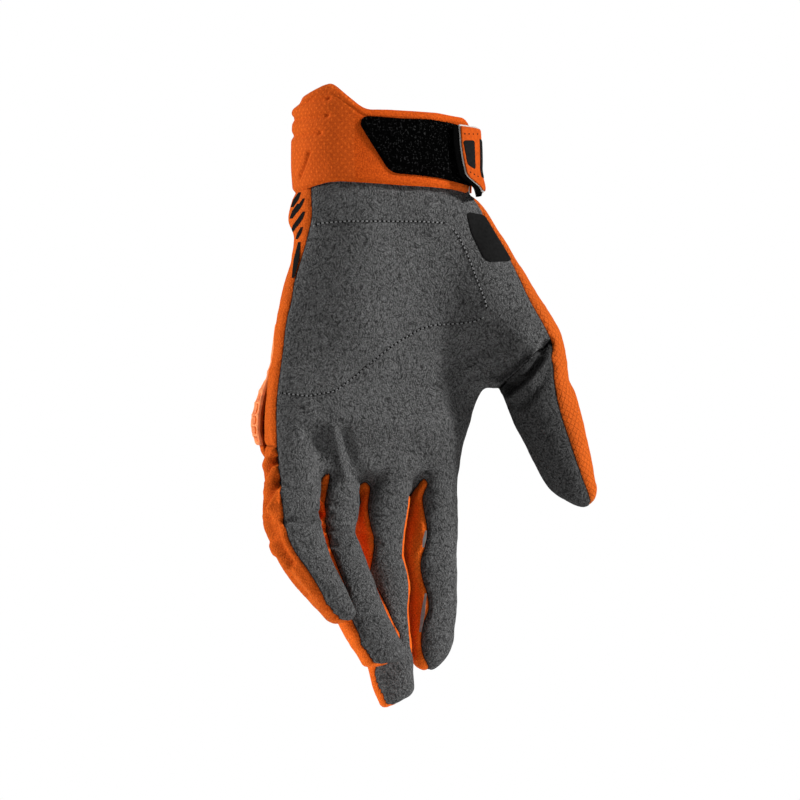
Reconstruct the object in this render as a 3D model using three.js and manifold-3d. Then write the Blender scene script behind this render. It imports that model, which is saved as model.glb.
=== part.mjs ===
// A left-hand motocross glove, shaped as it is when a relaxed hand fills it: the fingers
// point down, the palm faces -Y and the thumb is on the +X side. It is hollow throughout.
// The hand is one curved wall, sewn from separate pieces: a suede palm panel that runs down
// the fronts of the four fingers, two thumb pieces, a back panel, a piece over the backs of
// the fingers and three side strips between the fingers. Above it is a padded cuff in two
// pieces with a loop patch and a wrap-around strap, and on the hand are a grip patch and a
// moulded knuckle guard.
// Lengths are in millimetres. +Z points up, out of the wrist opening, whose centre is the origin.
import * as THREE from "three";
import { mergeVertices } from "three/addons/utils/BufferGeometryUtils.js";
import Module from "manifold-3d";

const wasm = await Module();
wasm.setup();

const FABRIC = 1.6; // wall of the suede and mesh pieces
const PADDING = 2.4; // wall of the cuff
const SEAM = 0.3; // gap that separate pieces keep
const LOOP_PILE = 1.2; // thickness of the loop patch
const STRAP = 2.2; // thickness of the strap
const INLAY = 0.7; // thickness of the flat panels on the strap
const TAG = 0.8; // thickness of the grip patch
const PALM_RING = { outside: 28, inside: 18 }; // corners round a palm section
const FINGER_RING = { outside: 12, inside: 8 }; // and round a finger or thumb section
const PALM_SQUARENESS = 2.35; // exponent of the palm's rounded sections, 2 is an ellipse
const FINGER_SQUARENESS = 2.1;
const VIEW_TURN = THREE.MathUtils.degToRad(25); // of the plane that outlines are drawn in

const HAND_TOP = -23; // the hand's wall ends here, tucked inside the cuff
const KNUCKLE_EDGE = -127; // lower edge of the back panel
const SLIT_TOP = -139; // where the palm panel parts into four fingers
const WEB_END = -144; // lowest point of the webs between the fingers
const THUMB_ROOT = 34; // the piece over the finger backs ends at this x, short of the thumb
const TIP_RISES = [32, 62]; // degrees up a domed tip where its rings lie

// Reach of the shapes that only cut: past the hand, across the view plane and beyond a limb.
const BEYOND = { left: -90, right: 90, front: -70, back: 60, below: -260 };
const VIEW_REACH = 80;
const WEDGE = { cornerStep: 20, pastTip: 14, reach: 1.28, thumbReach: 1.5 };
const CAVITY_LIFT = 6; // the cavity is open this far above the hand's wall

// The hand without thumb and fingers, in level sections from inside the cuff to the webs.
const PALM = [
  { z: HAND_TOP, x: -2.8, y: 0.2, halfWidth: 32.4, halfDepth: 19.9 },
  { z: -30.6, x: -2.8, y: 0.3, halfWidth: 32.4, halfDepth: 19.9 },
  { z: -34, x: -0.8, y: 0.6, halfWidth: 37.6, halfDepth: 20.6 },
  { z: -42, x: 0.2, y: 1.4, halfWidth: 38.2, halfDepth: 19.2 },
  { z: -54, x: 1.4, y: 2.2, halfWidth: 39.8, halfDepth: 17.8 },
  { z: -72, x: 0.8, y: 3.0, halfWidth: 43.2, halfDepth: 16.4 },
  { z: -92, x: -1.6, y: 3.0, halfWidth: 45.2, halfDepth: 15.6 },
  { z: -108, x: -4.6, y: 2.2, halfWidth: 43.8, halfDepth: 15.2 },
  { z: -121, x: -7.6, y: 1.4, halfWidth: 41.9, halfDepth: 14.4 },
  { z: -131, x: -9.4, y: 0.7, halfWidth: 40.9, halfDepth: 13.2 },
  { z: -138, x: -10.4, y: 0.2, halfWidth: 39.6, halfDepth: 11.4 },
  { z: WEB_END, x: -11, y: 0, halfWidth: 37.4, halfDepth: 8.2 },
];
// The mound at the base of the thumb, which ends at the web between thumb and palm.
const THENAR = [
  { z: -40, x: 20, y: 0, halfWidth: 12, halfDepth: 12 },
  { z: -54, x: 26, y: -1.5, halfWidth: 14.5, halfDepth: 15 },
  { z: -72, x: 33, y: -4, halfWidth: 16, halfDepth: 16 },
  { z: -84, x: 37, y: -6, halfWidth: 15.5, halfDepth: 14 },
  { z: -94, x: 39.6, y: -8, halfWidth: 13.4, halfDepth: 10.4 },
  { z: -99, x: 41, y: -9, halfWidth: 9.4, halfDepth: 6.4 },
];
const THUMB = [
  { z: -35.6, x: 25.4, y: -1, halfWidth: 8.6, halfDepth: 9 },
  { z: -42, x: 29.6, y: -2, halfWidth: 12.4, halfDepth: 11.4 },
  { z: -54, x: 36.2, y: -4, halfWidth: 14.2, halfDepth: 13.4 },
  { z: -72, x: 44.8, y: -8.6, halfWidth: 15, halfDepth: 14.6 },
  { z: -87, x: 51, y: -12.4, halfWidth: 14.8, halfDepth: 14.4 },
  { z: -98, x: 53.8, y: -15.5, halfWidth: 13.8, halfDepth: 13.8 },
  { z: -110, x: 56.6, y: -19, halfWidth: 13.2, halfDepth: 12.8 },
  { z: -127, x: 62, y: -22.4, halfWidth: 11.6, halfDepth: 11.2 },
  { z: -143, x: 68, y: -24, halfWidth: 9.4, halfDepth: 9 },
];
// The fingers, in sections square to their centrelines. The front seams are angles round a
// section in degrees: 0 is the thumb side, 90 the front and 180 the little-finger side.
const FINGERS = [
  {
    name: "index",
    front: [-14, 132],
    back: [222, 346],
    sections: [
      { z: -118, x: 17.6, y: 1.5, halfWidth: 9.2, halfDepth: 11 },
      { z: -131, x: 18.9, y: 0.8, halfWidth: 9.4, halfDepth: 11 },
      { z: -143, x: 19.3, y: 0.1, halfWidth: 9.3, halfDepth: 10.5 },
      { z: -170, x: 18.2, y: -2.2, halfWidth: 9.1, halfDepth: 9.8 },
      { z: -187, x: 17.2, y: -4.4, halfWidth: 9.1, halfDepth: 9.4 },
      { z: -201, x: 16.2, y: -6.4, halfWidth: 8.6, halfDepth: 8.6 },
      { z: -208, x: 16, y: -7.8, halfWidth: 7.9, halfDepth: 7.6 },
    ],
  },
  {
    name: "middle",
    front: [38, 143],
    back: [222, 318],
    sections: [
      { z: -118, x: -1, y: 2.2, halfWidth: 9.3, halfDepth: 11 },
      { z: -131, x: -0.4, y: 1.4, halfWidth: 9.3, halfDepth: 11 },
      { z: -141, x: -0.4, y: 0.8, halfWidth: 9.2, halfDepth: 10.6 },
      { z: -159, x: -2, y: -0.4, halfWidth: 9.7, halfDepth: 10.1 },
      { z: -187, x: -3, y: -4, halfWidth: 9.1, halfDepth: 9.4 },
      { z: -202, x: -3, y: -7, halfWidth: 9, halfDepth: 9 },
      { z: -213, x: -2.8, y: -9.6, halfWidth: 8.6, halfDepth: 8.4 },
      { z: -220, x: -3, y: -11.4, halfWidth: 7.8, halfDepth: 7.4 },
    ],
  },
  {
    name: "ring",
    front: [38, 138],
    back: [222, 318],
    sections: [
      { z: -118, x: -20.5, y: 1.6, halfWidth: 9.2, halfDepth: 11 },
      { z: -131, x: -21.8, y: 0.6, halfWidth: 9.2, halfDepth: 11 },
      { z: -141, x: -22.4, y: -0.4, halfWidth: 9, halfDepth: 10.4 },
      { z: -155, x: -23.5, y: -3.4, halfWidth: 9, halfDepth: 9.9 },
      { z: -169, x: -23.7, y: -8.4, halfWidth: 9.1, halfDepth: 9.5 },
      { z: -184, x: -21.6, y: -15.6, halfWidth: 9, halfDepth: 9.1 },
      { z: -195, x: -19.4, y: -21.3, halfWidth: 8.7, halfDepth: 8.5 },
      { z: -202, x: -17.6, y: -25, halfWidth: 8, halfDepth: 7.6 },
    ],
  },
  {
    name: "little",
    front: [30, 138],
    back: [222, 318],
    sections: [
      { z: -118, x: -39, y: 0.4, halfWidth: 8.8, halfDepth: 10.4 },
      { z: -131, x: -40.6, y: -1.6, halfWidth: 9, halfDepth: 10.4 },
      { z: -141, x: -42, y: -3.8, halfWidth: 9.3, halfDepth: 10 },
      { z: -153, x: -44, y: -8.2, halfWidth: 9.8, halfDepth: 9.7 },
      { z: -166, x: -42.8, y: -14.6, halfWidth: 9.3, halfDepth: 9.2 },
      { z: -177, x: -38, y: -21.6, halfWidth: 8.6, halfDepth: 8.5 },
      { z: -186, x: -33.4, y: -26.8, halfWidth: 8, halfDepth: 7.8 },
    ],
  },
];
const THUMB_FRONT = [80, 250]; // the thumb's pad faces the fingers
const LEFT_SEAM = 165; // the palm panel's seam on the little-finger side, an angle
// Its seam on the thumb side, which runs down the mound and then round behind the index.
const RIGHT_SEAM = [
  { z: -15, x: 36, y: -3.5 },
  { z: -30.6, x: 37, y: -4 },
  { z: -42, x: 40, y: -9 },
  { z: -54, x: 45, y: -15 },
  { z: -72, x: 50.8, y: -21.6 },
  { z: -87, x: 55, y: -26.5 },
  { z: -92, x: 52.4, y: -15.6 },
  { z: -100, x: 47, y: -2 },
  { z: -108, x: 44, y: 5 },
  { z: -121, x: 38, y: 6 },
  { z: SLIT_TOP, x: 32, y: 6 },
];
// The palm panel's cutter bends through a point inside the hand and reaches past both seams.
const PALM_CUT = { insideX: 20, insideY: 1, aside: 40, pastSeam: 0.3 };
// The webs between the fingers, which join each side strip's two halves.
const WEB = { inset: 4, drop: 4, front: -30, back: 7 };
// The part of the view plane that the thumb's front piece is cut from. Its first side is the
// crease where that piece is joined to the palm panel, from the web to the seam.
const THUMB_REGION = [
  { across: 41.5, z: -106.6 },
  { across: 100, z: -52 },
  { across: 120, z: -175 },
  { across: 41.5, z: -175 },
];

// The cuff's outer face, in level sections.
const CUFF = [
  { z: 14, x: -2.4, y: 0.4, halfWidth: 31.2, halfDepth: 21.8 },
  { z: 4, x: -2.6, y: 0.2, halfWidth: 33.9, halfDepth: 22.5 },
  { z: -4, x: -2.8, y: 0, halfWidth: 35, halfDepth: 22.8 },
  { z: -16, x: -2.8, y: 0, halfWidth: 35.5, halfDepth: 23 },
  { z: -31, x: -2.8, y: 0.3, halfWidth: 35.4, halfDepth: 22.9 },
];
// Height of the cuff's edges by angle. The side on the little finger stands up in a peak.
const CUFF_EDGES = [
  { angle: -10, top: -4.5, bottom: -29.5 },
  { angle: 20, top: -5, bottom: -29 },
  { angle: 42, top: -4, bottom: -28 },
  { angle: 72, top: 0, bottom: -27 },
  { angle: 104, top: 1.4, bottom: -26.4 },
  { angle: 120, top: 1.8, bottom: -26.6 },
  { angle: 132, top: 6.6, bottom: -27 },
  { angle: 144, top: 12, bottom: -27.6 },
  { angle: 162, top: 8, bottom: -28.6 },
  { angle: 180, top: 5.4, bottom: -29.6 },
  { angle: 210, top: 4.2, bottom: -30 },
  { angle: 270, top: 3.4, bottom: -30 },
  { angle: 320, top: -1.5, bottom: -30 },
  { angle: 350, top: -4.5, bottom: -29.5 },
];
// The shallow ribs of the cuff on the little-finger side, which follow its lower edge.
const CUFF_RIBS = { middle: 172, spread: 34, rise: 0.9, pitch: 8.5, above: -14 };
const CUFF_SPLIT = { palmFrom: 12, palmTo: 121, gap: 0.6 }; // the cuff's palm piece, angles
const CUFF_STEPS = { angle: 11, palmHeights: 4, backHeights: 9, lastAngle: 350 };

// The loop patch: heights, angles of its slanted end and of the end under the strap, and how
// far it stays below the cuff's edge.
const LOOP_PATCH = { top: -2.4, bottom: -25.4, upperAngle: 119, lowerAngle: 107, hidden: 30, margin: 1.4 };
const LOOP_STEPS = { along: 9, heights: 4 };
const STRAP_END = { upper: 55, lower: 46 }; // angles of the tab's slanted end, on the palm side
const STRAP_ROOT = -84; // angle where the strap is sewn to the back of the cuff
const STRAP_EDGES = { top: -5.4, bottom: -27.6 };
const STRAP_LIFT = { from: -10, to: 26 }; // angles where it climbs over the loop patch
const STRAP_STEPS = { along: 16, heights: 3 };
const STRAP_PANELS = [
  { name: "strap_panel_front", from: 33, to: 47, top: -10, bottom: -20.5 },
  { name: "strap_panel_side", from: 8, to: 27, top: -10, bottom: -23.5 },
  { name: "strap_panel_back", from: -66, to: -20, top: -9.4, bottom: -23.6 },
];
const PANEL_STEP = 7; // degrees between the corners of a strap panel

const GRIP_TAG = [
  { across: 30.2, z: -37.4 },
  { across: 37.2, z: -38.6 },
  { across: 47.4, z: -56.2 },
  { across: 38.2, z: -56.8 },
  { across: 36, z: -54.4 },
  { across: 32, z: -45.6 },
];
const TAG_DEPTH = 4; // the grip patch's cutter ends here, short of the back of the hand

// The knuckle guard: how far its face stands off the hand, by angle and by height.
const GUARD = { top: -80, bottom: -127, from: 190, to: 346, wall: 2.6, leastRise: 1.2 };
const GUARD_STEPS = { angle: 12, heights: 5 };
const GUARD_RISE = [
  { angle: 190, rise: 3 },
  { angle: 202, rise: 6.6 },
  { angle: 218, rise: 8.4 },
  { angle: 250, rise: 6.8 },
  { angle: 290, rise: 6.2 },
  { angle: 330, rise: 5 },
  { angle: 346, rise: 3 },
];
const GUARD_CROWN = [
  { z: -80, share: 0.1 },
  { z: -90, share: 0.28 },
  { z: -104, share: 0.65 },
  { z: -115, share: 1 },
  { z: -123, share: 1 },
  { z: -127, share: 0.6 },
];
const WINDOW_ROWS = [
  { z: -89.5, height: 8 },
  { z: -103.5, height: 11 },
  { z: -117.5, height: 9 },
];
const WINDOW_COLUMNS = { from: 201, to: 335, count: 7, width: 10 };
const WINDOW_CUT = { under: 2, depth: 16 }; // a window's cutter starts under the skin

// Linear interpolation of every column of a table at a value of its key column.
function interpolate(table, key, value) {
  const rising = table[1][key] > table[0][key];
  let i = 0;
  while (i < table.length - 2 && (rising ? table[i + 1][key] < value : table[i + 1][key] > value)) {
    i += 1;
  }
  const share = THREE.MathUtils.clamp(
    (value - table[i][key]) / (table[i + 1][key] - table[i][key]),
    0,
    1,
  );
  const row = {};
  for (const column of Object.keys(table[i])) {
    row[column] = THREE.MathUtils.lerp(table[i][column], table[i + 1][column], share);
  }
  row[key] = value;
  return row;
}

function radians(degrees) {
  return THREE.MathUtils.degToRad(degrees);
}

// A point of a rounded section in its own plane: (across, forward).
function sectionPoint(section, degrees, offset, squareness) {
  const c = Math.cos(radians(degrees));
  const s = Math.sin(radians(degrees));
  const power = 2 / squareness;
  return {
    across: Math.sign(c) * Math.abs(c) ** power * (section.halfWidth + offset),
    forward: Math.sign(s) * Math.abs(s) ** power * (section.halfDepth + offset),
  };
}

// Frames that carry a limb's sections, level or square to its centreline.
function framesOf(rows, level) {
  const centres = rows.map((row) => new THREE.Vector3(row.x, row.y, row.z));
  return rows.map((row, i) => {
    const along = level
      ? new THREE.Vector3(0, 0, -1)
      : centres[Math.min(i + 1, rows.length - 1)].clone().sub(centres[Math.max(i - 1, 0)]).normalize();
    const forward = new THREE.Vector3().crossVectors(along, new THREE.Vector3(1, 0, 0)).normalize();
    const across = new THREE.Vector3().crossVectors(forward, along).normalize();
    return { ...row, centre: centres[i], along, across, forward };
  });
}

function ringPoint(frame, degrees, offset, squareness, scale = 1) {
  const point = sectionPoint(frame, degrees, offset, squareness);
  return frame.centre
    .clone()
    .addScaledVector(frame.across, point.across * scale)
    .addScaledVector(frame.forward, point.forward * scale);
}

function asManifold(points, triangles) {
  const geometry = new THREE.BufferGeometry();
  geometry.setAttribute("position", new THREE.Float32BufferAttribute(points.flatMap((p) => p.toArray()), 3));
  geometry.setIndex(triangles.flat());
  return manifoldOf(geometry);
}

// A manifold from a closed geometry, turned inside out where its faces point in.
function manifoldOf(geometry) {
  geometry.deleteAttribute("normal");
  geometry.deleteAttribute("uv");
  const merged = mergeVertices(geometry, 1e-5);
  const vertProperties = new Float32Array(merged.attributes.position.array);
  const triVerts = new Uint32Array(merged.index.array);
  if (signedVolume(vertProperties, triVerts) < 0) {
    for (let i = 0; i < triVerts.length; i += 3) {
      [triVerts[i], triVerts[i + 1]] = [triVerts[i + 1], triVerts[i]];
    }
  }
  return new wasm.Manifold(new wasm.Mesh({ numProp: 3, vertProperties, triVerts }));
}

function signedVolume(vertices, triangles) {
  const corner = (i) => new THREE.Vector3().fromArray(vertices, 3 * triangles[i]);
  let volume = 0;
  for (let i = 0; i < triangles.length; i += 3) {
    volume += corner(i).dot(corner(i + 1).cross(corner(i + 2)));
  }
  return volume / 6;
}

// A closed solid lofted through rings with equal numbers of points.
function loft(rings) {
  const count = rings[0].length;
  const triangles = [];
  for (let i = 0; i + 1 < rings.length; i += 1) {
    for (let j = 0; j < count; j += 1) {
      const a = i * count + j;
      const b = i * count + ((j + 1) % count);
      triangles.push([a, b, b + count], [a, b + count, a + count]);
    }
  }
  const last = (rings.length - 1) * count;
  for (let j = 1; j + 1 < count; j += 1) {
    triangles.push([0, j + 1, j], [last, last + j, last + j + 1]);
  }
  return asManifold(rings.flat(), triangles);
}

// Angles round a section. The hidden inside of a wall has fewer corners than its outside.
function turnsOf(corners, offset) {
  const count = offset < 0 ? corners.inside : corners.outside;
  return Array.from({ length: count }, (_, j) => (360 * j) / count);
}

// The level body of the hand. A positive lift carries its top ring up, to open a cavity.
function palmSolid(offset, lift) {
  const frames = framesOf(PALM, true);
  const turns = turnsOf(PALM_RING, offset);
  const rings = frames.map((frame) =>
    turns.map((angle) => ringPoint(frame, angle, offset, PALM_SQUARENESS)),
  );
  for (const point of rings[0]) {
    point.z += lift;
  }
  for (const point of rings[rings.length - 1]) {
    point.z -= offset;
  }
  return loft(rings);
}

// A finger, thumb or mound, with a domed tip.
function limbSolid(rows, offset) {
  const frames = framesOf(rows, false);
  const turns = turnsOf(FINGER_RING, offset);
  const rings = frames.map((frame) =>
    turns.map((angle) => ringPoint(frame, angle, offset, FINGER_SQUARENESS)),
  );
  const tip = frames[frames.length - 1];
  const reach = Math.min(tip.halfWidth, tip.halfDepth) + offset;
  for (const rise of TIP_RISES) {
    const scale = Math.cos(radians(rise));
    const ahead = tip.along.clone().multiplyScalar(reach * Math.sin(radians(rise)));
    rings.push(
      turns.map((angle) => ringPoint(tip, angle, offset, FINGER_SQUARENESS, scale).add(ahead)),
    );
  }
  return loft(rings);
}

function joined(solids) {
  return solids.reduce((sum, solid) => sum.add(solid));
}

function handSolid(offset, lift) {
  return joined([
    palmSolid(offset, lift),
    limbSolid(THENAR, offset),
    limbSolid(THUMB, offset),
    ...FINGERS.map((finger) => limbSolid(finger.sections, offset)),
  ]);
}

// A wedge of a limb between two angles, wide enough to cut its wall and open at the tip.
function wedge(rows, [from, to], grow, reach = WEDGE.reach) {
  const frames = framesOf(rows, false);
  const steps = Math.ceil((to - from) / WEDGE.cornerStep);
  const tip = frames[frames.length - 1];
  frames.push({ ...tip, centre: tip.centre.clone().addScaledVector(tip.along, WEDGE.pastTip) });
  return loft(
    frames.map((frame) => {
      const spread = THREE.MathUtils.radToDeg(grow / frame.halfWidth);
      const ring = [frame.centre.clone()];
      for (let i = 0; i <= steps; i += 1) {
        const angle = from - spread + ((to - from + 2 * spread) * i) / steps;
        const point = sectionPoint(frame, angle, grow, 2);
        ring.push(
          frame.centre
            .clone()
            .addScaledVector(frame.across, point.across * reach)
            .addScaledVector(frame.forward, point.forward * reach),
        );
      }
      return ring;
    }),
  );
}

// Everything in front of the palm panel's two seams and of a line inside the hollow hand.
function palmFront(grow) {
  const { insideX, insideY, aside, pastSeam } = PALM_CUT;
  return loft(
    RIGHT_SEAM.map((row, i) => {
      const z = i === RIGHT_SEAM.length - 1 ? row.z - grow : row.z;
      const section = interpolate(PALM, "z", Math.min(z, HAND_TOP));
      const left = sectionPoint(section, LEFT_SEAM, 0, PALM_SQUARENESS);
      const leftPoint = new THREE.Vector3(section.x + left.across, section.y - left.forward + grow, z);
      const rightPoint = new THREE.Vector3(row.x, row.y + grow, z);
      const chord = rightPoint.clone().sub(leftPoint);
      return [
        new THREE.Vector3(leftPoint.x - aside, BEYOND.front, z),
        leftPoint.clone().addScaledVector(chord, -pastSeam),
        new THREE.Vector3(insideX, insideY + grow, z),
        rightPoint,
        rightPoint.clone().addScaledVector(chord, pastSeam),
        new THREE.Vector3(rightPoint.x + aside, BEYOND.front, z),
      ];
    }),
  );
}

// A box between two corners.
function block(low, high) {
  const size = high.clone().sub(low);
  const geometry = new THREE.BoxGeometry(size.x, size.y, size.z);
  const middle = low.clone().add(high).multiplyScalar(0.5);
  geometry.translate(middle.x, middle.y, middle.z);
  return manifoldOf(geometry);
}

// The region of the thumb's front piece, moved away from its crease by a distance.
function thumbSide(away) {
  const corners = THUMB_REGION.map((point) => new THREE.Vector2(point.across + away, point.z - away));
  return extrudeInView(corners, -VIEW_REACH, VIEW_REACH);
}

// A prism of an outline in the view plane, between two depths along the view direction.
function extrudeInView(outline, near, far) {
  const shape = new THREE.Shape(outline.map((point) => new THREE.Vector2(point.x, point.y)));
  const geometry = new THREE.ExtrudeGeometry(shape, { depth: far - near, bevelEnabled: false, steps: 1 });
  geometry.translate(0, 0, -far);
  geometry.rotateX(Math.PI / 2);
  geometry.rotateZ(-VIEW_TURN);
  return manifoldOf(geometry);
}

// Everything below a height, up to a limit on the thumb side.
function below(z, right = BEYOND.right) {
  return block(
    new THREE.Vector3(BEYOND.left, BEYOND.front, BEYOND.below),
    new THREE.Vector3(right, BEYOND.back, z),
  );
}

// The cutter of the side strip between two neighbouring fingers, with the web that joins it.
function stripCutter(finger, next, grow) {
  const thumbward = wedge(finger.sections, [finger.front[1], finger.back[0]], grow);
  const littleward = wedge(next.sections, [next.back[1] - 360, next.front[0]], grow);
  const top = SLIT_TOP - SEAM + grow;
  const a = interpolate(finger.sections, "z", WEB_END);
  const b = interpolate(next.sections, "z", WEB_END);
  const web = block(
    new THREE.Vector3(b.x + WEB.inset - grow, WEB.front, WEB_END - WEB.drop - grow),
    new THREE.Vector3(a.x - WEB.inset + grow, WEB.back + grow, top),
  );
  return joined([thumbward, littleward]).intersect(below(top)).add(web);
}

// A closed curved wall over a grid of angles and heights of a surface.
function wall(surface, angles, heights, inner, outer) {
  const points = [];
  for (const face of [outer, inner]) {
    for (const angle of angles) {
      for (let j = 0; j < heights; j += 1) {
        points.push(surface(angle, j / (heights - 1), face));
      }
    }
  }
  const size = angles.length * heights;
  const at = (i, j) => i * heights + j;
  const triangles = [];
  for (let i = 0; i + 1 < angles.length; i += 1) {
    for (let j = 0; j + 1 < heights; j += 1) {
      const quad = [at(i, j), at(i, j + 1), at(i + 1, j + 1), at(i + 1, j)];
      triangles.push([quad[0], quad[1], quad[2]], [quad[0], quad[2], quad[3]]);
      triangles.push(
        [quad[2] + size, quad[1] + size, quad[0] + size],
        [quad[3] + size, quad[2] + size, quad[0] + size],
      );
    }
  }
  const columns = angles.map((_, i) => i);
  const rows = Array.from({ length: heights }, (_, j) => j);
  const rim = [
    ...columns.slice(0, -1).map((i) => at(i, 0)),
    ...rows.slice(0, -1).map((j) => at(angles.length - 1, j)),
    ...columns.slice(1).reverse().map((i) => at(i, heights - 1)),
    ...rows.slice(1).reverse().map((j) => at(0, j)),
  ];
  rim.forEach((a, k) => {
    const b = rim[(k + 1) % rim.length];
    triangles.push([a, b, b + size], [a, b + size, a + size]);
  });
  return asManifold(points, triangles);
}

function anglesBetween(from, to, step) {
  const count = Math.max(1, Math.round(Math.abs(to - from) / step));
  return Array.from({ length: count + 1 }, (_, i) => from + ((to - from) * i) / count);
}

function ribRise(degrees, z) {
  const across = (degrees - CUFF_RIBS.middle) / CUFF_RIBS.spread;
  const fade = THREE.MathUtils.smoothstep(z, CUFF_RIBS.above, CUFF_RIBS.above + CUFF_RIBS.pitch / 2);
  const wave = Math.cos((2 * Math.PI * (z - CUFF_RIBS.above)) / CUFF_RIBS.pitch);
  return CUFF_RIBS.rise * Math.exp(-across * across) * fade * wave;
}

// A point of the cuff's outer face, moved out by an offset.
function cuffPoint(degrees, z, offset) {
  const section = interpolate(CUFF, "z", z);
  const point = sectionPoint(section, degrees, offset + ribRise(degrees, z), PALM_SQUARENESS);
  return new THREE.Vector3(section.x + point.across, section.y - point.forward, z);
}

function handPoint(degrees, z, offset) {
  const section = interpolate(PALM, "z", z);
  const point = sectionPoint(section, degrees, offset, PALM_SQUARENESS);
  return new THREE.Vector3(section.x + point.across, section.y - point.forward, z);
}

function cuffPiece(from, to, heights) {
  const surface = (angle, share, offset) => {
    const turned = angle > CUFF_STEPS.lastAngle ? angle - 360 : angle;
    const edges = interpolate(CUFF_EDGES, "angle", turned);
    return cuffPoint(angle, THREE.MathUtils.lerp(edges.top, edges.bottom, share), offset);
  };
  return wall(surface, anglesBetween(from, to, CUFF_STEPS.angle), heights, -PADDING, 0);
}

function loopPatch() {
  const surface = (angle, share, offset) => {
    const end = THREE.MathUtils.lerp(LOOP_PATCH.upperAngle, LOOP_PATCH.lowerAngle, share);
    const along = THREE.MathUtils.lerp(LOOP_PATCH.hidden, end, angle);
    const z = THREE.MathUtils.lerp(LOOP_PATCH.top, LOOP_PATCH.bottom, share);
    const lowered = Math.min(z, interpolate(CUFF_EDGES, "angle", along).top - LOOP_PATCH.margin);
    return cuffPoint(along, lowered, offset);
  };
  return wall(surface, anglesBetween(0, 1, 1 / LOOP_STEPS.along), LOOP_STEPS.heights, SEAM, SEAM + LOOP_PILE);
}

// Height of the strap's inner face over the cuff: it lifts to pass over the loop patch.
function strapRise(degrees) {
  const lifted = 2 * SEAM + LOOP_PILE;
  const share = THREE.MathUtils.smoothstep(degrees, STRAP_LIFT.from, STRAP_LIFT.to);
  return THREE.MathUtils.lerp(SEAM, lifted, share);
}

function strap() {
  const surface = (angle, share, offset) => {
    const end = THREE.MathUtils.lerp(STRAP_END.upper, STRAP_END.lower, share);
    const along = THREE.MathUtils.lerp(STRAP_ROOT, end, angle);
    const z = THREE.MathUtils.lerp(STRAP_EDGES.top, STRAP_EDGES.bottom, share);
    return cuffPoint(along, z, strapRise(along) + offset);
  };
  return wall(surface, anglesBetween(0, 1, 1 / STRAP_STEPS.along), STRAP_STEPS.heights, 0, STRAP);
}

function strapPanel({ from, to, top, bottom }) {
  const surface = (angle, share, offset) =>
    cuffPoint(angle, THREE.MathUtils.lerp(top, bottom, share), strapRise(angle) + STRAP + offset);
  return wall(surface, anglesBetween(from, to, PANEL_STEP), 2, SEAM, SEAM + INLAY);
}

function gripTag() {
  const outline = GRIP_TAG.map((point) => new THREE.Vector2(point.across, point.z));
  const layer = handSolid(SEAM + TAG, 0).subtract(handSolid(SEAM, CAVITY_LIFT));
  return layer.intersect(extrudeInView(outline, -VIEW_REACH, TAG_DEPTH));
}

function knuckleGuard() {
  const surface = (angle, share, inside) => {
    const z = THREE.MathUtils.lerp(GUARD.top, GUARD.bottom, share);
    const rise = interpolate(GUARD_RISE, "angle", angle).rise * interpolate(GUARD_CROWN, "z", z).share;
    const face = inside ? Math.max(SEAM, rise - GUARD.wall) : SEAM + Math.max(GUARD.leastRise, rise);
    return handPoint(angle, z, face);
  };
  const angles = anglesBetween(GUARD.from, GUARD.to, GUARD_STEPS.angle);
  let guard = wall(surface, angles, GUARD_STEPS.heights, true, false);
  for (const row of WINDOW_ROWS) {
    for (let i = 0; i < WINDOW_COLUMNS.count; i += 1) {
      const share = i / (WINDOW_COLUMNS.count - 1);
      const angle = THREE.MathUtils.lerp(WINDOW_COLUMNS.from, WINDOW_COLUMNS.to, share);
      guard = guard.subtract(windowCutter(angle, row, i % 2 === 0 ? 1 : -1));
    }
  }
  return guard;
}

// A triangular prism that points out of the hand, its tip up or down.
function windowCutter(degrees, { z, height }, pointing) {
  const half = WINDOW_COLUMNS.width / 2;
  const shape = new THREE.Shape([
    new THREE.Vector2(-half, (-pointing * height) / 2),
    new THREE.Vector2(half, (-pointing * height) / 2),
    new THREE.Vector2(0, (pointing * height) / 2),
  ]);
  const geometry = new THREE.ExtrudeGeometry(shape, { depth: WINDOW_CUT.depth, bevelEnabled: false });
  const seat = handPoint(degrees, z, -WINDOW_CUT.under);
  const ahead = handPoint(degrees, z, 0).sub(seat).normalize();
  const up = new THREE.Vector3(0, 0, 1);
  const side = new THREE.Vector3().crossVectors(up, ahead).normalize();
  geometry.applyMatrix4(new THREE.Matrix4().makeBasis(side, up, ahead).setPosition(seat));
  return manifoldOf(geometry);
}

// The largest body of a cut, which leaves out crumbs thinner than the thread at a seam.
function mainBody(solid) {
  return solid.decompose().sort((a, b) => b.volume() - a.volume())[0];
}

const colors = {
  suede: 0x525252,
  mesh: 0xd2591f,
  knit: 0xc8561a,
  pile: 0x0b0b0b,
  rubber: 0xe08a58,
  print: 0x1c1c1c,
};

function piece(name, solid, color, roughness = 0.9) {
  const mesh = mainBody(solid).getMesh();
  const geometry = new THREE.BufferGeometry();
  geometry.setAttribute("position", new THREE.BufferAttribute(new Float32Array(mesh.vertProperties), 3));
  geometry.setIndex(new THREE.BufferAttribute(new Uint32Array(mesh.triVerts), 1));
  geometry.computeVertexNormals();
  const node = new THREE.Mesh(geometry, new THREE.MeshStandardMaterial({ color, roughness, metalness: 0 }));
  node.name = name;
  return node;
}

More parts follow.
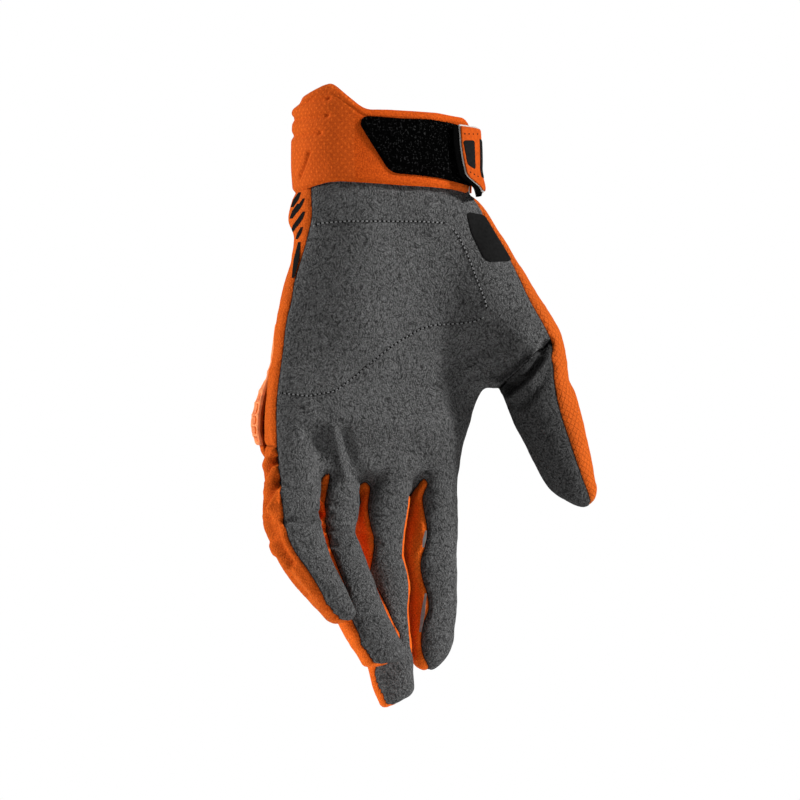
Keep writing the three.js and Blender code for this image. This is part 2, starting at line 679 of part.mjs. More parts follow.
// The hand's wall, cut along its seams.
function handPieces() {
  const hand = handSolid(0, 0).subtract(handSolid(-FABRIC, CAVITY_LIFT));
  const fronts = (grow) =>
    joined([
      palmFront(grow).subtract(thumbSide(grow)),
      ...FINGERS.map((finger) => wedge(finger.sections, finger.front, grow)),
    ]);
  const thumbFront = (grow) =>
    wedge(THUMB, THUMB_FRONT, grow, WEDGE.thumbReach).intersect(thumbSide(SEAM - grow));
  const thumbAll = (grow) => limbSolid(THUMB, FABRIC + grow);
  const frontCut = fronts(SEAM);
  const thumbFrontCut = thumbFront(SEAM);
  const strips = FINGERS.slice(0, -1).map((finger, i) => ({
    name: `side_strip_${finger.name}_${FINGERS[i + 1].name}`,
    finger,
    next: FINGERS[i + 1],
  }));
  const lower = hand.intersect(below(KNUCKLE_EDGE, THUMB_ROOT)).subtract(frontCut);
  const upper = hand.subtract(below(KNUCKLE_EDGE + SEAM, THUMB_ROOT));
  const behind = upper.subtract(frontCut).subtract(thumbFrontCut);
  const group = [
    piece("palm_panel", hand.intersect(fronts(0)), colors.suede),
    piece("thumb_front", hand.intersect(thumbFront(0)), colors.suede),
    piece("thumb_back", behind.intersect(thumbAll(0)), colors.mesh),
    piece("back_panel", behind.subtract(thumbAll(SEAM)), colors.mesh),
  ];
  let backs = lower;
  for (const strip of strips) {
    const cutter = stripCutter(strip.finger, strip.next, 0);
    group.push(piece(strip.name, lower.intersect(cutter), colors.mesh));
    backs = backs.subtract(stripCutter(strip.finger, strip.next, SEAM));
  }
  group.push(piece("finger_backs", backs, colors.mesh));
  return group;
}

const glove = new THREE.Group();
glove.name = "motocross_glove";
glove.add(...handPieces());
const { palmFrom, palmTo, gap } = CUFF_SPLIT;
const cuffPalm = cuffPiece(palmFrom, palmTo, CUFF_STEPS.palmHeights);
const cuffBack = cuffPiece(palmTo + gap, palmFrom + 360 - gap, CUFF_STEPS.backHeights);
glove.add(piece("cuff_palm", cuffPalm, colors.knit));
glove.add(piece("cuff_back", cuffBack, colors.knit));
glove.add(piece("loop_patch", loopPatch(), colors.pile));
glove.add(piece("strap", strap(), colors.mesh));
for (const panel of STRAP_PANELS) {
  glove.add(piece(panel.name, strapPanel(panel), colors.print));
}
glove.add(piece("grip_tag", gripTag(), colors.print));
glove.add(piece("knuckle_guard", knuckleGuard(), colors.rubber, 0.6));

export default glove;
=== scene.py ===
"""A left-hand motocross glove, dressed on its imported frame.

The hand is one smooth skin, found from round limbs in short tables, wrinkled along creases and
cut along its seams into the sewn panels. The cuff, its loop patch and strap, the knuckle guard
and the grip patch are curved sheets of their own. Tables are in millimetres in the part's frame:
+Z up out of the wrist opening, -Y the side that the palm faces, +X the thumb side. A seam or
crease that shows from the camera is drawn in the view plane, as (across, z).
"""
import math

import bpy
import numpy as np
import openvdb as vdb
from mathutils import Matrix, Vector, noise
from mathutils.bvhtree import BVHTree
from mathutils.kdtree import KDTree


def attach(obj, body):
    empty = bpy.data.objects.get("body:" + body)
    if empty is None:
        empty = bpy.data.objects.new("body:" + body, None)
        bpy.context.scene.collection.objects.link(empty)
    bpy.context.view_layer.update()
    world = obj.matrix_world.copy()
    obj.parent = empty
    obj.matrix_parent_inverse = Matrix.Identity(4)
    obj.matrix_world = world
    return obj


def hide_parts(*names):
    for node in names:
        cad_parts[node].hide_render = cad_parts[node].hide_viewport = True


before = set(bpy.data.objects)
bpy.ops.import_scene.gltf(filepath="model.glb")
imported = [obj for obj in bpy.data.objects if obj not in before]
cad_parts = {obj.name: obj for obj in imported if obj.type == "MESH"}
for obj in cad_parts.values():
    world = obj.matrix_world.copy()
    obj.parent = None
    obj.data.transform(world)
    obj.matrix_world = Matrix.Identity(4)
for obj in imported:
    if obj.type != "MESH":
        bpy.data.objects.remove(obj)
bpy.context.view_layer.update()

MM = 0.001
VOXEL = 0.8  # size of the skin's faces, mm
FABRIC = 1.2  # wall of the hand's panels, mm
HAND_LOW = np.array([-58.0, -48.0, -236.0])  # corners of the box that the hand's skin is found in
HAND_HIGH = np.array([84.0, 26.0, -20.0])
FAR = 12.0  # distances from the skin are cut off here
CLEAR = 9.0  # a distance that stands for well inside a piece
SKIN_TOP = -24.0  # the skin ends here, inside the cuff
CRUMB = 60  # faces of the largest crumb that a cut may leave

# The camera looks at the palm from the little-finger side.
TURN = math.radians(25)
LOOK = np.array([math.sin(TURN), math.cos(TURN), 0.0])
RIGHT = np.array([math.cos(TURN), -math.sin(TURN), 0.0])
CAMERA_DISTANCE = 1100.0
VIEW_CENTRE = (4.81, -109.7)  # across and z of the middle of the picture
VIEW_HEIGHT = 308.0

# Level sections of the hand without thumb and fingers: z, x, y, half width, half depth.
PALM = np.array([
    (-20.0, -2.8, 0.2, 32.4, 19.9),
    (-29.0, -2.8, 0.3, 32.6, 19.9),
    (-34.0, -1.2, 0.6, 36.8, 20.4),
    (-42.0, -0.4, 1.4, 38.8, 19.2),
    (-47.0, 1.2, 1.8, 38.0, 18.4),
    (-54.0, 1.8, 2.2, 39.2, 17.8),
    (-72.0, 0.6, 3.0, 43.2, 16.4),
    (-92.0, -1.2, 3.0, 44.6, 15.6),
    (-108.0, -4.6, 2.2, 43.8, 15.2),
    (-121.0, -7.6, 1.6, 41.9, 14.0),
    (-131.0, -9.2, 1.0, 40.4, 12.6),
    (-138.0, -10.4, 0.2, 39.6, 11.4),
    (-144.0, -11.0, 0.0, 37.4, 8.2),
])
# The palm's lower end: its heights in front and behind, where in y it slants, and its rounding.
PALM_END = {"front": -139.0, "back": -150.0, "from_y": -8.0, "to_y": 6.0, "radius": 6.0}
PALM_SQUARENESS = 2.35
LIMB_SQUARENESS = 2.1
# Sections of the limbs, square to their centrelines: z, x, y, half width, half depth.
LIMBS = {
    "thenar": np.array([
        (-40.0, 20.0, 0.0, 12.0, 12.0),
        (-54.0, 26.0, -1.5, 14.5, 15.0),
        (-72.0, 33.0, -4.0, 16.0, 16.0),
        (-84.0, 37.0, -6.0, 15.5, 14.0),
        (-94.0, 39.6, -8.0, 13.0, 10.4),
        (-98.0, 41.0, -9.0, 9.0, 6.6),
    ]),
    "thumb": np.array([
        (-35.6, 23.4, -1.0, 9.0, 9.0),
        (-42.0, 27.4, -2.0, 12.2, 11.4),
        (-54.0, 34.4, -4.0, 14.0, 13.4),
        (-72.0, 42.9, -8.6, 15.0, 14.6),
        (-85.0, 50.3, -12.4, 15.4, 14.4),
        (-92.0, 53.5, -14.0, 15.1, 14.0),
        (-98.0, 54.6, -15.5, 14.0, 13.8),
        (-106.0, 55.4, -18.0, 12.9, 13.0),
        (-114.0, 58.2, -20.0, 12.9, 12.6),
        (-127.0, 62.6, -22.4, 11.4, 11.2),
        (-138.0, 66.6, -23.6, 9.9, 9.6),
        (-144.4, 69.1, -24.0, 8.6, 8.4),
    ]),
    "index": np.array([
        (-118.0, 17.6, 1.5, 9.2, 11.6),
        (-131.0, 18.9, 0.8, 9.4, 12.0),
        (-141.0, 19.2, 0.2, 9.4, 11.2),
        (-150.0, 18.9, -0.4, 9.4, 10.8),
        (-160.0, 17.7, -1.3, 10.3, 10.2),
        (-168.0, 16.8, -2.0, 10.8, 9.9),
        (-175.0, 17.1, -2.8, 10.2, 9.7),
        (-182.0, 17.2, -3.6, 9.4, 9.5),
        (-190.0, 16.6, -4.8, 9.3, 9.3),
        (-200.0, 15.6, -6.4, 8.9, 8.6),
        (-207.0, 15.0, -7.9, 7.9, 7.5),
    ]),
    "middle": np.array([
        (-118.0, -1.0, 2.2, 9.3, 11.6),
        (-131.0, -0.4, 1.4, 9.3, 12.2),
        (-141.0, 0.0, 0.8, 9.5, 11.4),
        (-150.0, -1.6, 0.2, 10.0, 11.0),
        (-160.0, -3.6, -0.5, 9.8, 10.4),
        (-168.0, -4.2, -1.2, 9.1, 10.0),
        (-174.0, -3.8, -2.0, 9.3, 9.8),
        (-180.0, -2.6, -3.0, 9.4, 9.6),
        (-188.0, -3.2, -4.2, 9.2, 9.4),
        (-196.0, -3.4, -5.8, 9.0, 9.1),
        (-206.0, -3.0, -8.0, 8.8, 8.8),
        (-213.0, -2.8, -9.6, 8.6, 8.4),
        (-223.0, -1.8, -12.1, 6.8, 7.2),
    ]),
    "ring": np.array([
        (-118.0, -20.5, 1.6, 9.2, 11.6),
        (-131.0, -21.8, 0.6, 9.2, 12.0),
        (-141.0, -22.4, -0.4, 9.1, 11.0),
        (-150.0, -23.2, -2.0, 9.4, 10.4),
        (-160.0, -25.0, -4.9, 8.3, 9.9),
        (-164.6, -24.9, -6.8, 8.4, 9.8),
        (-170.0, -23.7, -8.8, 9.2, 9.6),
        (-184.0, -21.4, -15.6, 9.1, 9.2),
        (-195.0, -18.8, -21.3, 9.1, 8.6),
        (-202.0, -15.7, -25.0, 8.8, 7.9),
        (-209.0, -13.6, -28.2, 8.3, 7.4),
    ]),
    "little": np.array([
        (-118.0, -38.6, 0.4, 8.8, 11.2),
        (-131.0, -39.6, -1.6, 9.6, 11.4),
        (-141.8, -40.6, -4.0, 10.4, 10.8),
        (-149.2, -42.9, -7.0, 10.9, 10.4),
        (-154.8, -43.5, -9.0, 10.3, 10.0),
        (-165.8, -42.4, -14.8, 9.4, 9.4),
        (-174.9, -39.5, -20.4, 8.0, 8.6),
        (-184.0, -34.8, -26.0, 6.3, 7.4),
        (-189.6, -31.8, -28.8, 4.9, 6.8),
    ]),
}
FINGERS = ["index", "middle", "ring", "little"]
# Slanted ends of the tips in the view plane: across, z, and the way that the end faces, in degrees.
TIP_CUTS = {
    "index": (21.4, -210.4, -43), "middle": (5.0, -225.4, -64), "ring": (-2.5, -211.9, -75),
    "little": (-18.2, -195.8, -80), "thumb": (68.2, -148.2, -117),
}
BLEND = {"thenar": 9.0, "thumb": 7.0, "finger": 3.0, "tip": 3.0}  # radii at the palm and the tips

# Seams that show from the camera, as (z, across) in the view plane.
ULNAR_SEAM = np.array([
    (-30.0, -29.6), (-40.4, -29.5), (-48.1, -31.4), (-55.8, -33.7), (-63.5, -36.0),
    (-71.2, -37.2), (-78.9, -39.1), (-94.3, -41.0), (-109.7, -42.9), (-125.1, -42.9),
    (-140.5, -41.4), (-152.1, -40.2), (-159.8, -39.1), (-167.5, -36.0), (-175.2, -30.6),
    (-182.9, -26.0), (-190.6, -23.0), (-197.0, -21.4),
])
THUMB_SEAM = np.array([
    (-28.0, 34.0), (-40.4, 37.9), (-48.1, 43.3), (-55.8, 47.5), (-71.2, 54.9),
    (-86.6, 62.6), (-94.3, 63.3), (-109.7, 65.3), (-125.1, 69.9), (-140.5, 75.3),
    (-148.2, 78.0), (-154.0, 78.4),
])
# Seams along the right of the slits, by the finger that they are on.
SLIT_SEAMS = {
    "ring": np.array([
        (-138.6, -22.1), (-148.2, -24.1), (-158.2, -23.7), (-164.4, -22.5), (-174.0, -19.1),
        (-182.9, -15.8), (-193.3, -14.2), (-201.7, -10.6), (-207.5, -10.2), (-213.0, -7.6),
    ]),
    "middle": np.array([
        (-142.0, -6.7), (-151.3, -7.9), (-158.2, -6.7), (-164.8, -5.2), (-170.6, -6.0),
        (-177.1, -6.7), (-181.7, -4.3), (-188.7, -0.5), (-196.0, 3.0), (-200.6, 5.4), (-205.0, 2.8),
        (-211.0, -4.0), (-221.4, -4.2), (-227.5, -2.8),
    ]),
    "index": np.array([
        (-141.7, 15.2), (-147.8, 12.9), (-152.5, 13.7), (-160.2, 15.2), (-165.6, 14.4),
        (-171.7, 12.5), (-177.9, 12.9), (-184.8, 15.2), (-189.8, 15.6), (-196.4, 13.3),
        (-207.9, 13.3), (-212.9, 15.6),
    ]),
}
# Left edges of the slits near their tops, by the finger on their right.
SLIT_LEFT_EDGES = {
    "ring": np.array([
        (-134.0, -22.4), (-138.2, -23.3), (-140.5, -24.8), (-145.2, -25.5), (-153.6, -26.2), (-160.0, -26.2),
    ]),
    "middle": np.array([(-136.0, -9.6), (-142.0, -10.4), (-147.5, -10.8), (-153.6, -11.4), (-160.0, -12.4)]),
    "index": np.array([
        (-134.0, 13.4), (-140.9, 12.4), (-145.1, 9.8), (-148.6, 7.8), (-153.6, 6.4), (-160.0, 5.8),
    ]),
}
SLIT_SHIFT = {"ring": 0.3, "middle": 0.2, "index": 0.0}  # of their seams to the left
# How far a front piece goes back past the middle of its finger.
FRONT_REACH = {"index": 2.4, "middle": 2.0, "ring": 5.0, "little": 2.0}
SLIT_TOPS = {"ring": -137.2, "middle": -141.8, "index": -140.2}
# The seam between palm and thumb: a point on it, its slope and where it ends on the left.
CREASE_LINE = {"across": 43.3, "z": -105.0, "slope": math.radians(43), "left_end": 41.5}
BACK_EDGE = -127.0  # the back panel ends here, over the backs of the fingers
# Depth of the seam between palm panel and back, on the thumb side, by height: (z, y).
RADIAL_DEPTH = np.array([
    (-24.0, -3.0), (-42.0, -6.0), (-87.0, -8.0), (-100.0, -2.0), (-108.0, 5.0), (-145.0, 6.0),
])
ULNAR_DEPTH = -1.0
# Angles round a finger: 0 is the thumb side, 90 the front, 180 the little-finger side.
# Seam of the front piece on the side away from the camera: run down the finger, angle.
SIDE_SEAMS = {
    "middle": np.array([(-150.0, 40.0), (-204.0, 38.0), (-212.0, 0.0), (-230.0, -20.0)]),
    "ring": np.array([(-150.0, 20.0), (-166.0, 18.0), (-192.0, 12.0), (-202.0, -20.0), (-220.0, -40.0)]),
    "little": np.array([(-150.0, 20.0), (-162.0, 14.0), (-172.0, -4.0), (-182.0, -20.0), (-200.0, -40.0)]),
}
BACK_SEAMS = (222, 318)  # of the piece over the backs
FINGERS_FROM = -128.0  # the skin below this height is the fingers', apart from the thumb's
SIDE_BLEND = (-20.0, 25.0)  # x from the little-finger side to the thumb side
TIP_WRAP = 1.2  # how fast a front piece widens past the end of a centreline
SLIT_ROUNDING = 2.6
NEAR_TOP = (-152.0, -145.0)  # between these heights a slit's left edge goes over to its table
LEFT_EDGE_ENDS = (150.0, 154.0)  # depths where that table lets go on the finger to the right
HIDDEN_SIDE = -60  # degrees from the front where a finger's left seam no longer counts
ULNAR_SHIFT, THUMB_SHIFT = 0.3, 0.5  # of those seams, away from the palm
THUMB_PAD = {"angle": 147.5, "share": 0.216}  # middle of the thumb's front piece and its reach
STRIP_OVERLAP = 3.0  # of the side strips above the tops of the slits
NOT_MINE = -5.0  # a strip's field on the other fingers
THUMB_BACK = {"gap": 0.4, "x": 24.0}  # where the thumb's back piece starts on the hand

# Creases of the skin in the view plane: start, middle and end as (across, z), then depth
# and width in mm. A negative depth is a ridge.
CREASES = [
    ((43.4, -106.0), (54.4, -98.8), (62.2, -87.6), 4.4, 1.7),
    ((48.0, -108.8), (55.4, -102.2), (61.4, -93.2), -1.7, 1.6),
    ((42.6, -103.8), (50.4, -97.6), (57.4, -90.6), -1.3, 1.4),
    ((39.5, -103.2), (46.4, -98.8), (53.3, -92.4), 2.2, 1.4),
    ((52.0, -111.4), (58.0, -104.6), (62.4, -97.0), 1.4, 1.6),
    ((-17.4, -122.0), (-14.0, -131.0), (-11.6, -142.0), 1.5, 2.0),
    ((-21.6, -121.0), (-18.6, -130.0), (-16.6, -139.0), -1.0, 2.0),
    ((-39.5, -156.3), (-33.0, -155.6), (-26.4, -153.6), 1.7, 1.2),
    ((-38.5, -159.4), (-32.0, -159.0), (-26.0, -156.8), -0.9, 1.4),
    ((-20.6, -165.8), (-17.0, -165.6), (-13.7, -163.4), 1.5, 1.2),
    ((-21.0, -162.6), (-17.6, -162.0), (-14.0, -160.4), -0.8, 1.2),
    ((-24.4, -158.6), (-19.6, -160.2), (-14.6, -158.8), 0.9, 1.0),
    ((-29.8, -84.7), (-17.0, -87.0), (-4.8, -90.5), 0.35, 1.2),
    ((-14.4, -159.0), (-9.0, -161.0), (-3.0, -165.5), 0.4, 1.2),
    ((-26.0, -137.0), (-27.0, -130.0), (-30.0, -122.0), 0.8, 3.2),
    ((-8.4, -141.0), (-11.0, -134.0), (-14.0, -127.0), 0.6, 3.0),
    ((13.6, -140.0), (12.6, -134.0), (11.0, -126.0), 0.6, 3.4),
    ((-50.0, -139.0), (-47.0, -134.6), (-44.2, -129.0), -1.5, 1.2),
    ((-50.0, -143.6), (-46.6, -138.6), (-43.6, -132.4), 1.8, 1.0),
    ((-49.6, -147.6), (-46.4, -142.8), (-43.0, -136.0), -1.6, 1.2),
    ((-49.0, -151.6), (-45.6, -146.6), (-42.4, -140.4), 2.2, 1.1),
    ((-49.6, -156.4), (-45.4, -151.2), (-41.8, -145.4), -1.5, 1.3),
    ((-47.8, -151.0), (-45.6, -156.6), (-44.0, -163.6), 2.0, 1.2),
    ((-46.4, -157.0), (-44.0, -165.0), (-38.6, -174.0), -1.9, 1.4),
    ((-43.0, -158.0), (-41.0, -165.4), (-36.6, -172.6), 1.6, 1.1),
    ((-42.4, -171.0), (-37.4, -178.4), (-31.4, -185.6), 1.6, 1.2),
    ((-38.4, -171.6), (-34.0, -177.4), (-29.4, -183.6), -0.7, 1.2),
    ((-32.6, -190.6), (-27.6, -191.6), (-21.0, -189.8), 0.8, 1.0),
    ((-28.0, -196.0), (-24.4, -195.4), (-20.4, -193.8), 0.7, 1.0),
    ((-46.4, -122.0), (-45.6, -128.0), (-44.0, -133.0), 0.8, 1.0),
    ((-30.4, -147.6), (-34.0, -145.0), (-39.0, -143.8), 0.5, 1.3),
    ((-20.6, -150.4), (-16.6, -151.4), (-12.4, -150.0), 0.6, 1.3),
    ((-21.6, -155.6), (-17.4, -155.8), (-13.0, -157.0), 0.5, 1.2),
    ((-1.0, -170.0), (3.4, -171.0), (7.0, -169.0), 0.3, 1.4),
    ((26.6, -100.0), (33.0, -92.6), (44.0, -88.4), 0.8, 3.2),
    ((-10.0, -103.0), (11.0, -108.0), (29.0, -112.0), 2.4, 8.0),
    ((-36.0, -114.0), (-26.0, -128.0), (-16.0, -132.0), 0.9, 4.0),
    ((30.0, -107.6), (35.4, -102.6), (40.8, -100.0), 0.5, 1.6),
    ((43.4, -113.0), (48.0, -110.0), (52.6, -105.6), 0.5, 1.6),
]
BEND_POINTS = 9  # of the curve of a crease
FACING = 0.35  # creases fade where the skin turns away from the camera
# Unevenness of the skin: height, size of its features, octaves, seed, squeeze along z.
UNEVEN = [(0.35, 9.0, 3, 1, 1.0), (0.6, 22.0, 2, 2, 0.6)]
# Soft mounds and hollows of the palm: across, z, height, half spans.
MOUNDS = [
    (-11.0, -66.0, 4.4, 18.0, 32.0),
    (22.0, -98.0, -2.6, 22.0, 10.0),
    (34.0, -88.0, -2.0, 9.0, 13.0),
    (-28.0, -117.0, 1.4, 14.0, 8.0),
    (2.0, -118.0, 2.8, 24.0, 8.0),
    (-31.0, -125.0, -1.2, 10.0, 5.0),
    (4.0, -44.0, -1.2, 8.0, 14.0),
]


def smooth_table(table, step=1.0):
    """The table's columns on an even grid of the first one, through its rows by a cubic."""
    order = np.argsort(table[:, 0])
    x, y = table[order, 0], table[order, 1:]
    slope = np.gradient(y, x, axis=0)
    grid = np.arange(x[0], x[-1] + step / 2, step)
    i = np.clip(np.searchsorted(x, grid, "right") - 1, 0, len(x) - 2)
    width = (x[i + 1] - x[i])[:, None]
    t = (grid - x[i])[:, None] / width
    a = (1 + 2 * t) * (1 - t) ** 2
    b = t * (1 - t) ** 2
    c = t * t * (3 - 2 * t)
    d = t * t * (t - 1)
    return grid, a * y[i] + b * width * slope[i] + c * y[i + 1] + d * width * slope[i + 1]


def along_table(table, x):
    """Values of a two-column table at x, on a smooth curve through its rows."""
    grid, values = smooth_table(table)
    return np.interp(x, grid, values[:, 0])


def seen(points):
    """Places of points in the view plane, as the camera sees them: across and z."""
    depth = points @ LOOK
    scale = CAMERA_DISTANCE / (CAMERA_DISTANCE + depth)
    across = VIEW_CENTRE[0] + (points @ RIGHT - VIEW_CENTRE[0]) * scale
    return across, VIEW_CENTRE[1] + (points[:, 2] - VIEW_CENTRE[1]) * scale


def smooth_min(a, b, radius):
    share = np.clip(0.5 + 0.5 * (b - a) / radius, 0, 1)
    return b + (a - b) * share - radius * share * (1 - share)


def rounded_distance(x, y, half_width, half_depth, squareness, z=None, half_length=1.0):
    """Distance to a rounded section, or past a limb's tip to its dome."""
    reach = (np.abs(x) / half_width) ** squareness + (np.abs(y) / half_depth) ** squareness
    length = np.hypot(x, y)
    if z is not None:
        reach = reach + (np.abs(z) / half_length) ** squareness
        length = np.sqrt(length**2 + z**2)
    reach = np.maximum(reach, 1e-6) ** (1 / squareness)
    return length - length / reach


PALM_Z, PALM_ROWS = smooth_table(PALM)


def section(grid_z, rows, z):
    """Centre x and y, half width and half depth of a ringed form at heights."""
    return [np.interp(z, grid_z, rows[:, k]) for k in range(4)]


def palm_field(points):
    """Distance to the palm body, angle round it, and radius there."""
    x0, y0, half_width, half_depth = section(PALM_Z, PALM_ROWS, points[:, 2])
    x, forward = points[:, 0] - x0, y0 - points[:, 1]
    distance = rounded_distance(x, forward, half_width, half_depth, PALM_SQUARENESS)
    lean = smoothstep(points[:, 1], PALM_END["from_y"], PALM_END["to_y"])
    end = PALM_END["front"] + (PALM_END["back"] - PALM_END["front"]) * lean - points[:, 2]
    distance = -smooth_min(-distance, -end, PALM_END["radius"])
    return {"distance": distance, "angle": np.degrees(np.arctan2(forward, x)) % 360, "forward": forward,
            "radius": np.hypot(x, forward), "run": -points[:, 2]}


class Limb:
    """A tapering round limb along a smooth centreline."""

    def __init__(self, rows):
        keys = np.arange(len(rows), dtype=float)
        table = np.column_stack([keys, rows])
        steps = max(2, int(abs(rows[-1, 0] - rows[0, 0]) / len(rows) / 2.5))
        _, dense = smooth_table(table, 1.0 / steps)
        self.centre = dense[:, [1, 2, 0]]
        self.half = dense[:, 3:5]
        along = np.gradient(self.centre, axis=0)
        along /= np.linalg.norm(along, axis=1)[:, None]
        forward = np.cross(along, [1.0, 0, 0])
        forward /= np.linalg.norm(forward, axis=1)[:, None]
        self.axes = np.stack([np.cross(forward, along), forward, along], axis=1)
        steps_run = np.linalg.norm(np.diff(self.centre, axis=0), axis=1)
        self.run = np.concatenate([[0], np.cumsum(steps_run)])
        self.low = self.centre.min(0) - self.half.max() - 9
        self.high = self.centre.max(0) + self.half.max() + 9

    def field(self, points):
        best = np.full(len(points), 1e9)
        where = np.zeros(len(points))
        for k in range(len(self.centre) - 1):
            start, step = self.centre[k], self.centre[k + 1] - self.centre[k]
            t = np.clip((points - start) @ step / (step @ step), 0, 1)
            gap = ((points - start - t[:, None] * step) ** 2).sum(1)
            nearer = gap < best
            best[nearer] = gap[nearer]
            where[nearer] = k + t[nearer]
        i = np.minimum(where.astype(int), len(self.centre) - 2)
        share = (where - i)[:, None]
        centre = self.centre[i] * (1 - share) + self.centre[i + 1] * share
        half = self.half[i] * (1 - share) + self.half[i + 1] * share
        axes = self.axes[i] * (1 - share[..., None]) + self.axes[i + 1] * share[..., None]
        local = np.einsum("nij,nj->ni", axes, points - centre)
        past = np.where(where >= len(self.centre) - 1.001, local[:, 2], 0.0)
        distance = rounded_distance(local[:, 0], local[:, 1], half[:, 0], half[:, 1],
                                    LIMB_SQUARENESS, past, half.min(1) * 0.95)
        return {"distance": distance, "angle": np.degrees(np.arctan2(local[:, 1], local[:, 0])) % 360,
                "forward": local[:, 1], "radius": np.hypot(local[:, 0], local[:, 1]),
                "run": np.interp(where, np.arange(len(self.run)), self.run) + np.maximum(past, 0),
                "past": np.maximum(past, 0)}


LIMB = {name: Limb(rows) for name, rows in LIMBS.items()}


def hand_distance(shape, low):
    """Signed distance to the hand's outer skin on a grid of voxels."""
    axes = [low[k] + VOXEL * np.arange(shape[k]) for k in range(3)]
    grid = np.stack(np.meshgrid(*axes, indexing="ij"), axis=-1).reshape(-1, 3)
    hand = palm_field(grid)["distance"].reshape(shape)
    fingers = np.full(shape, FAR)
    for name, limb in LIMB.items():
        a = np.maximum(((limb.low - low) / VOXEL).astype(int), 0)
        b = np.minimum(((limb.high - low) / VOXEL).astype(int) + 1, shape)
        span = tuple(slice(a[k], b[k]) for k in range(3))
        box = np.stack(np.meshgrid(*[axes[k][span[k]] for k in range(3)], indexing="ij"), axis=-1)
        near = limb.field(box.reshape(-1, 3))["distance"]
        if name in TIP_CUTS:
            a, h, facing = TIP_CUTS[name]
            across, z = seen(box.reshape(-1, 3))
            end = (across - a) * math.cos(math.radians(facing)) + (z - h) * math.sin(math.radians(facing))
            near = -smooth_min(-near, -end, BLEND["tip"])
        near = near.reshape(box.shape[:3])
        if name in FINGERS:
            fingers[span] = np.minimum(fingers[span], near)
        else:
            hand[span] = smooth_min(hand[span], near, BLEND[name])
    return smooth_min(hand, fingers, BLEND["finger"])


class Shell:
    """An open triangle mesh with columns of numbers at its vertices."""

    def __init__(self, points, faces, columns):
        self.points, self.faces, self.columns = points, faces, columns

    def kept(self, faces):
        used = np.unique(faces)
        index = np.full(len(self.points), -1)
        index[used] = np.arange(len(used))
        return Shell(self.points[used], index[faces], {k: v[used] for k, v in self.columns.items()})

    def cut(self, field):
        """The parts where a vertex field is above and below 0, parted on its zero line."""
        field = np.where(np.abs(field) < 1e-4, 1e-4, field)
        above = field > 0
        count = above[self.faces].sum(1)
        mixed = self.faces[(count == 1) | (count == 2)]
        odd_one = np.where(above[mixed].sum(1) == 1, above[mixed].argmax(1), (~above[mixed]).argmax(1))
        turn = (odd_one[:, None] + np.arange(3)) % 3
        mixed = np.take_along_axis(mixed, turn, axis=1)
        ends = np.sort(np.concatenate([mixed[:, [0, 1]], mixed[:, [0, 2]]]), axis=1)
        edges, back = np.unique(ends, axis=0, return_inverse=True)
        back = back.reshape(-1)
        a, b = edges[:, 0], edges[:, 1]
        t = field[a] / (field[a] - field[b])
        blend = lambda v: v[a] + (v[b] - v[a]) * (t if v.ndim == 1 else t[:, None])
        first = len(self.points) + back[:len(mixed)]
        second = len(self.points) + back[len(mixed):]
        points = np.concatenate([self.points, blend(self.points)])
        columns = {k: np.concatenate([v, blend(v)]) for k, v in self.columns.items()}
        whole = Shell(points, None, columns)
        tip = np.column_stack([mixed[:, 0], first, second])
        rest = np.concatenate([np.column_stack([first, mixed[:, 1], mixed[:, 2]]),
                               np.column_stack([first, mixed[:, 2], second])])
        tip_above = above[mixed[:, 0]]
        rest_above = np.concatenate([~tip_above, ~tip_above])
        return (whole.kept(np.concatenate([self.faces[count == 3], tip[tip_above], rest[rest_above]])),
                whole.kept(np.concatenate([self.faces[count == 0], tip[~tip_above], rest[~rest_above]])))

    def border(self):
        """Directed edges that only one face uses."""
        edges = np.concatenate([self.faces[:, [0, 1]], self.faces[:, [1, 2]], self.faces[:, [2, 0]]])
        size = len(self.points)
        forth, back = edges[:, 0] * size + edges[:, 1], edges[:, 1] * size + edges[:, 0]
        return edges[~np.isin(forth, back)]

    def main_part(self):
        """Without the crumbs that a cut leaves, which hang on no other face."""
        parent = np.arange(len(self.points))
        while True:
            low = parent[self.faces].min(1)
            new = parent.copy()
            np.minimum.at(new, self.faces.reshape(-1), np.repeat(low, 3))
            new = new[new]
            if (new == parent).all():
                break
            parent = new
        groups, sizes = np.unique(parent[self.faces[:, 0]], return_counts=True)
        keep = np.isin(parent[self.faces[:, 0]], groups[sizes > CRUMB])
        return self.kept(self.faces[keep])


def halved(quads):
    return np.concatenate([quads[:, [0, 1, 2]], quads[:, [0, 2, 3]]])


def grid_faces(shape):
    """Triangles between the points of a grid."""
    index = np.arange(shape[0] * shape[1]).reshape(shape)
    a, b, c, d = index[:-1, :-1], index[1:, :-1], index[1:, 1:], index[:-1, 1:]
    return halved(np.stack([a, b, c, d], axis=-1).reshape(-1, 4))


def vertex_normals(points, faces):
    a, b, c = (points[faces[:, k]] for k in range(3))
    normal = np.cross(b - a, c - a)
    total = np.zeros_like(points)
    for k in range(3):
        np.add.at(total, faces[:, k], normal)
    return total / np.maximum(np.linalg.norm(total, axis=1), 1e-9)[:, None]


def facing_camera(points, faces):
    """The faces of a sheet, turned over if they look away from the camera."""
    away = (vertex_normals(points, faces) @ LOOK).mean() > 0
    return faces[:, ::-1] if away else faces


def polyline_distance(u, v, line):
    best = np.full(len(u), 1e9)
    for (x0, y0), (x1, y1) in zip(line[:-1], line[1:]):
        dx, dy = x1 - x0, y1 - y0
        t = np.clip(((u - x0) * dx + (v - y0) * dy) / (dx * dx + dy * dy), 0, 1)
        best = np.minimum(best, np.hypot(u - x0 - t * dx, v - y0 - t * dy))
    return best


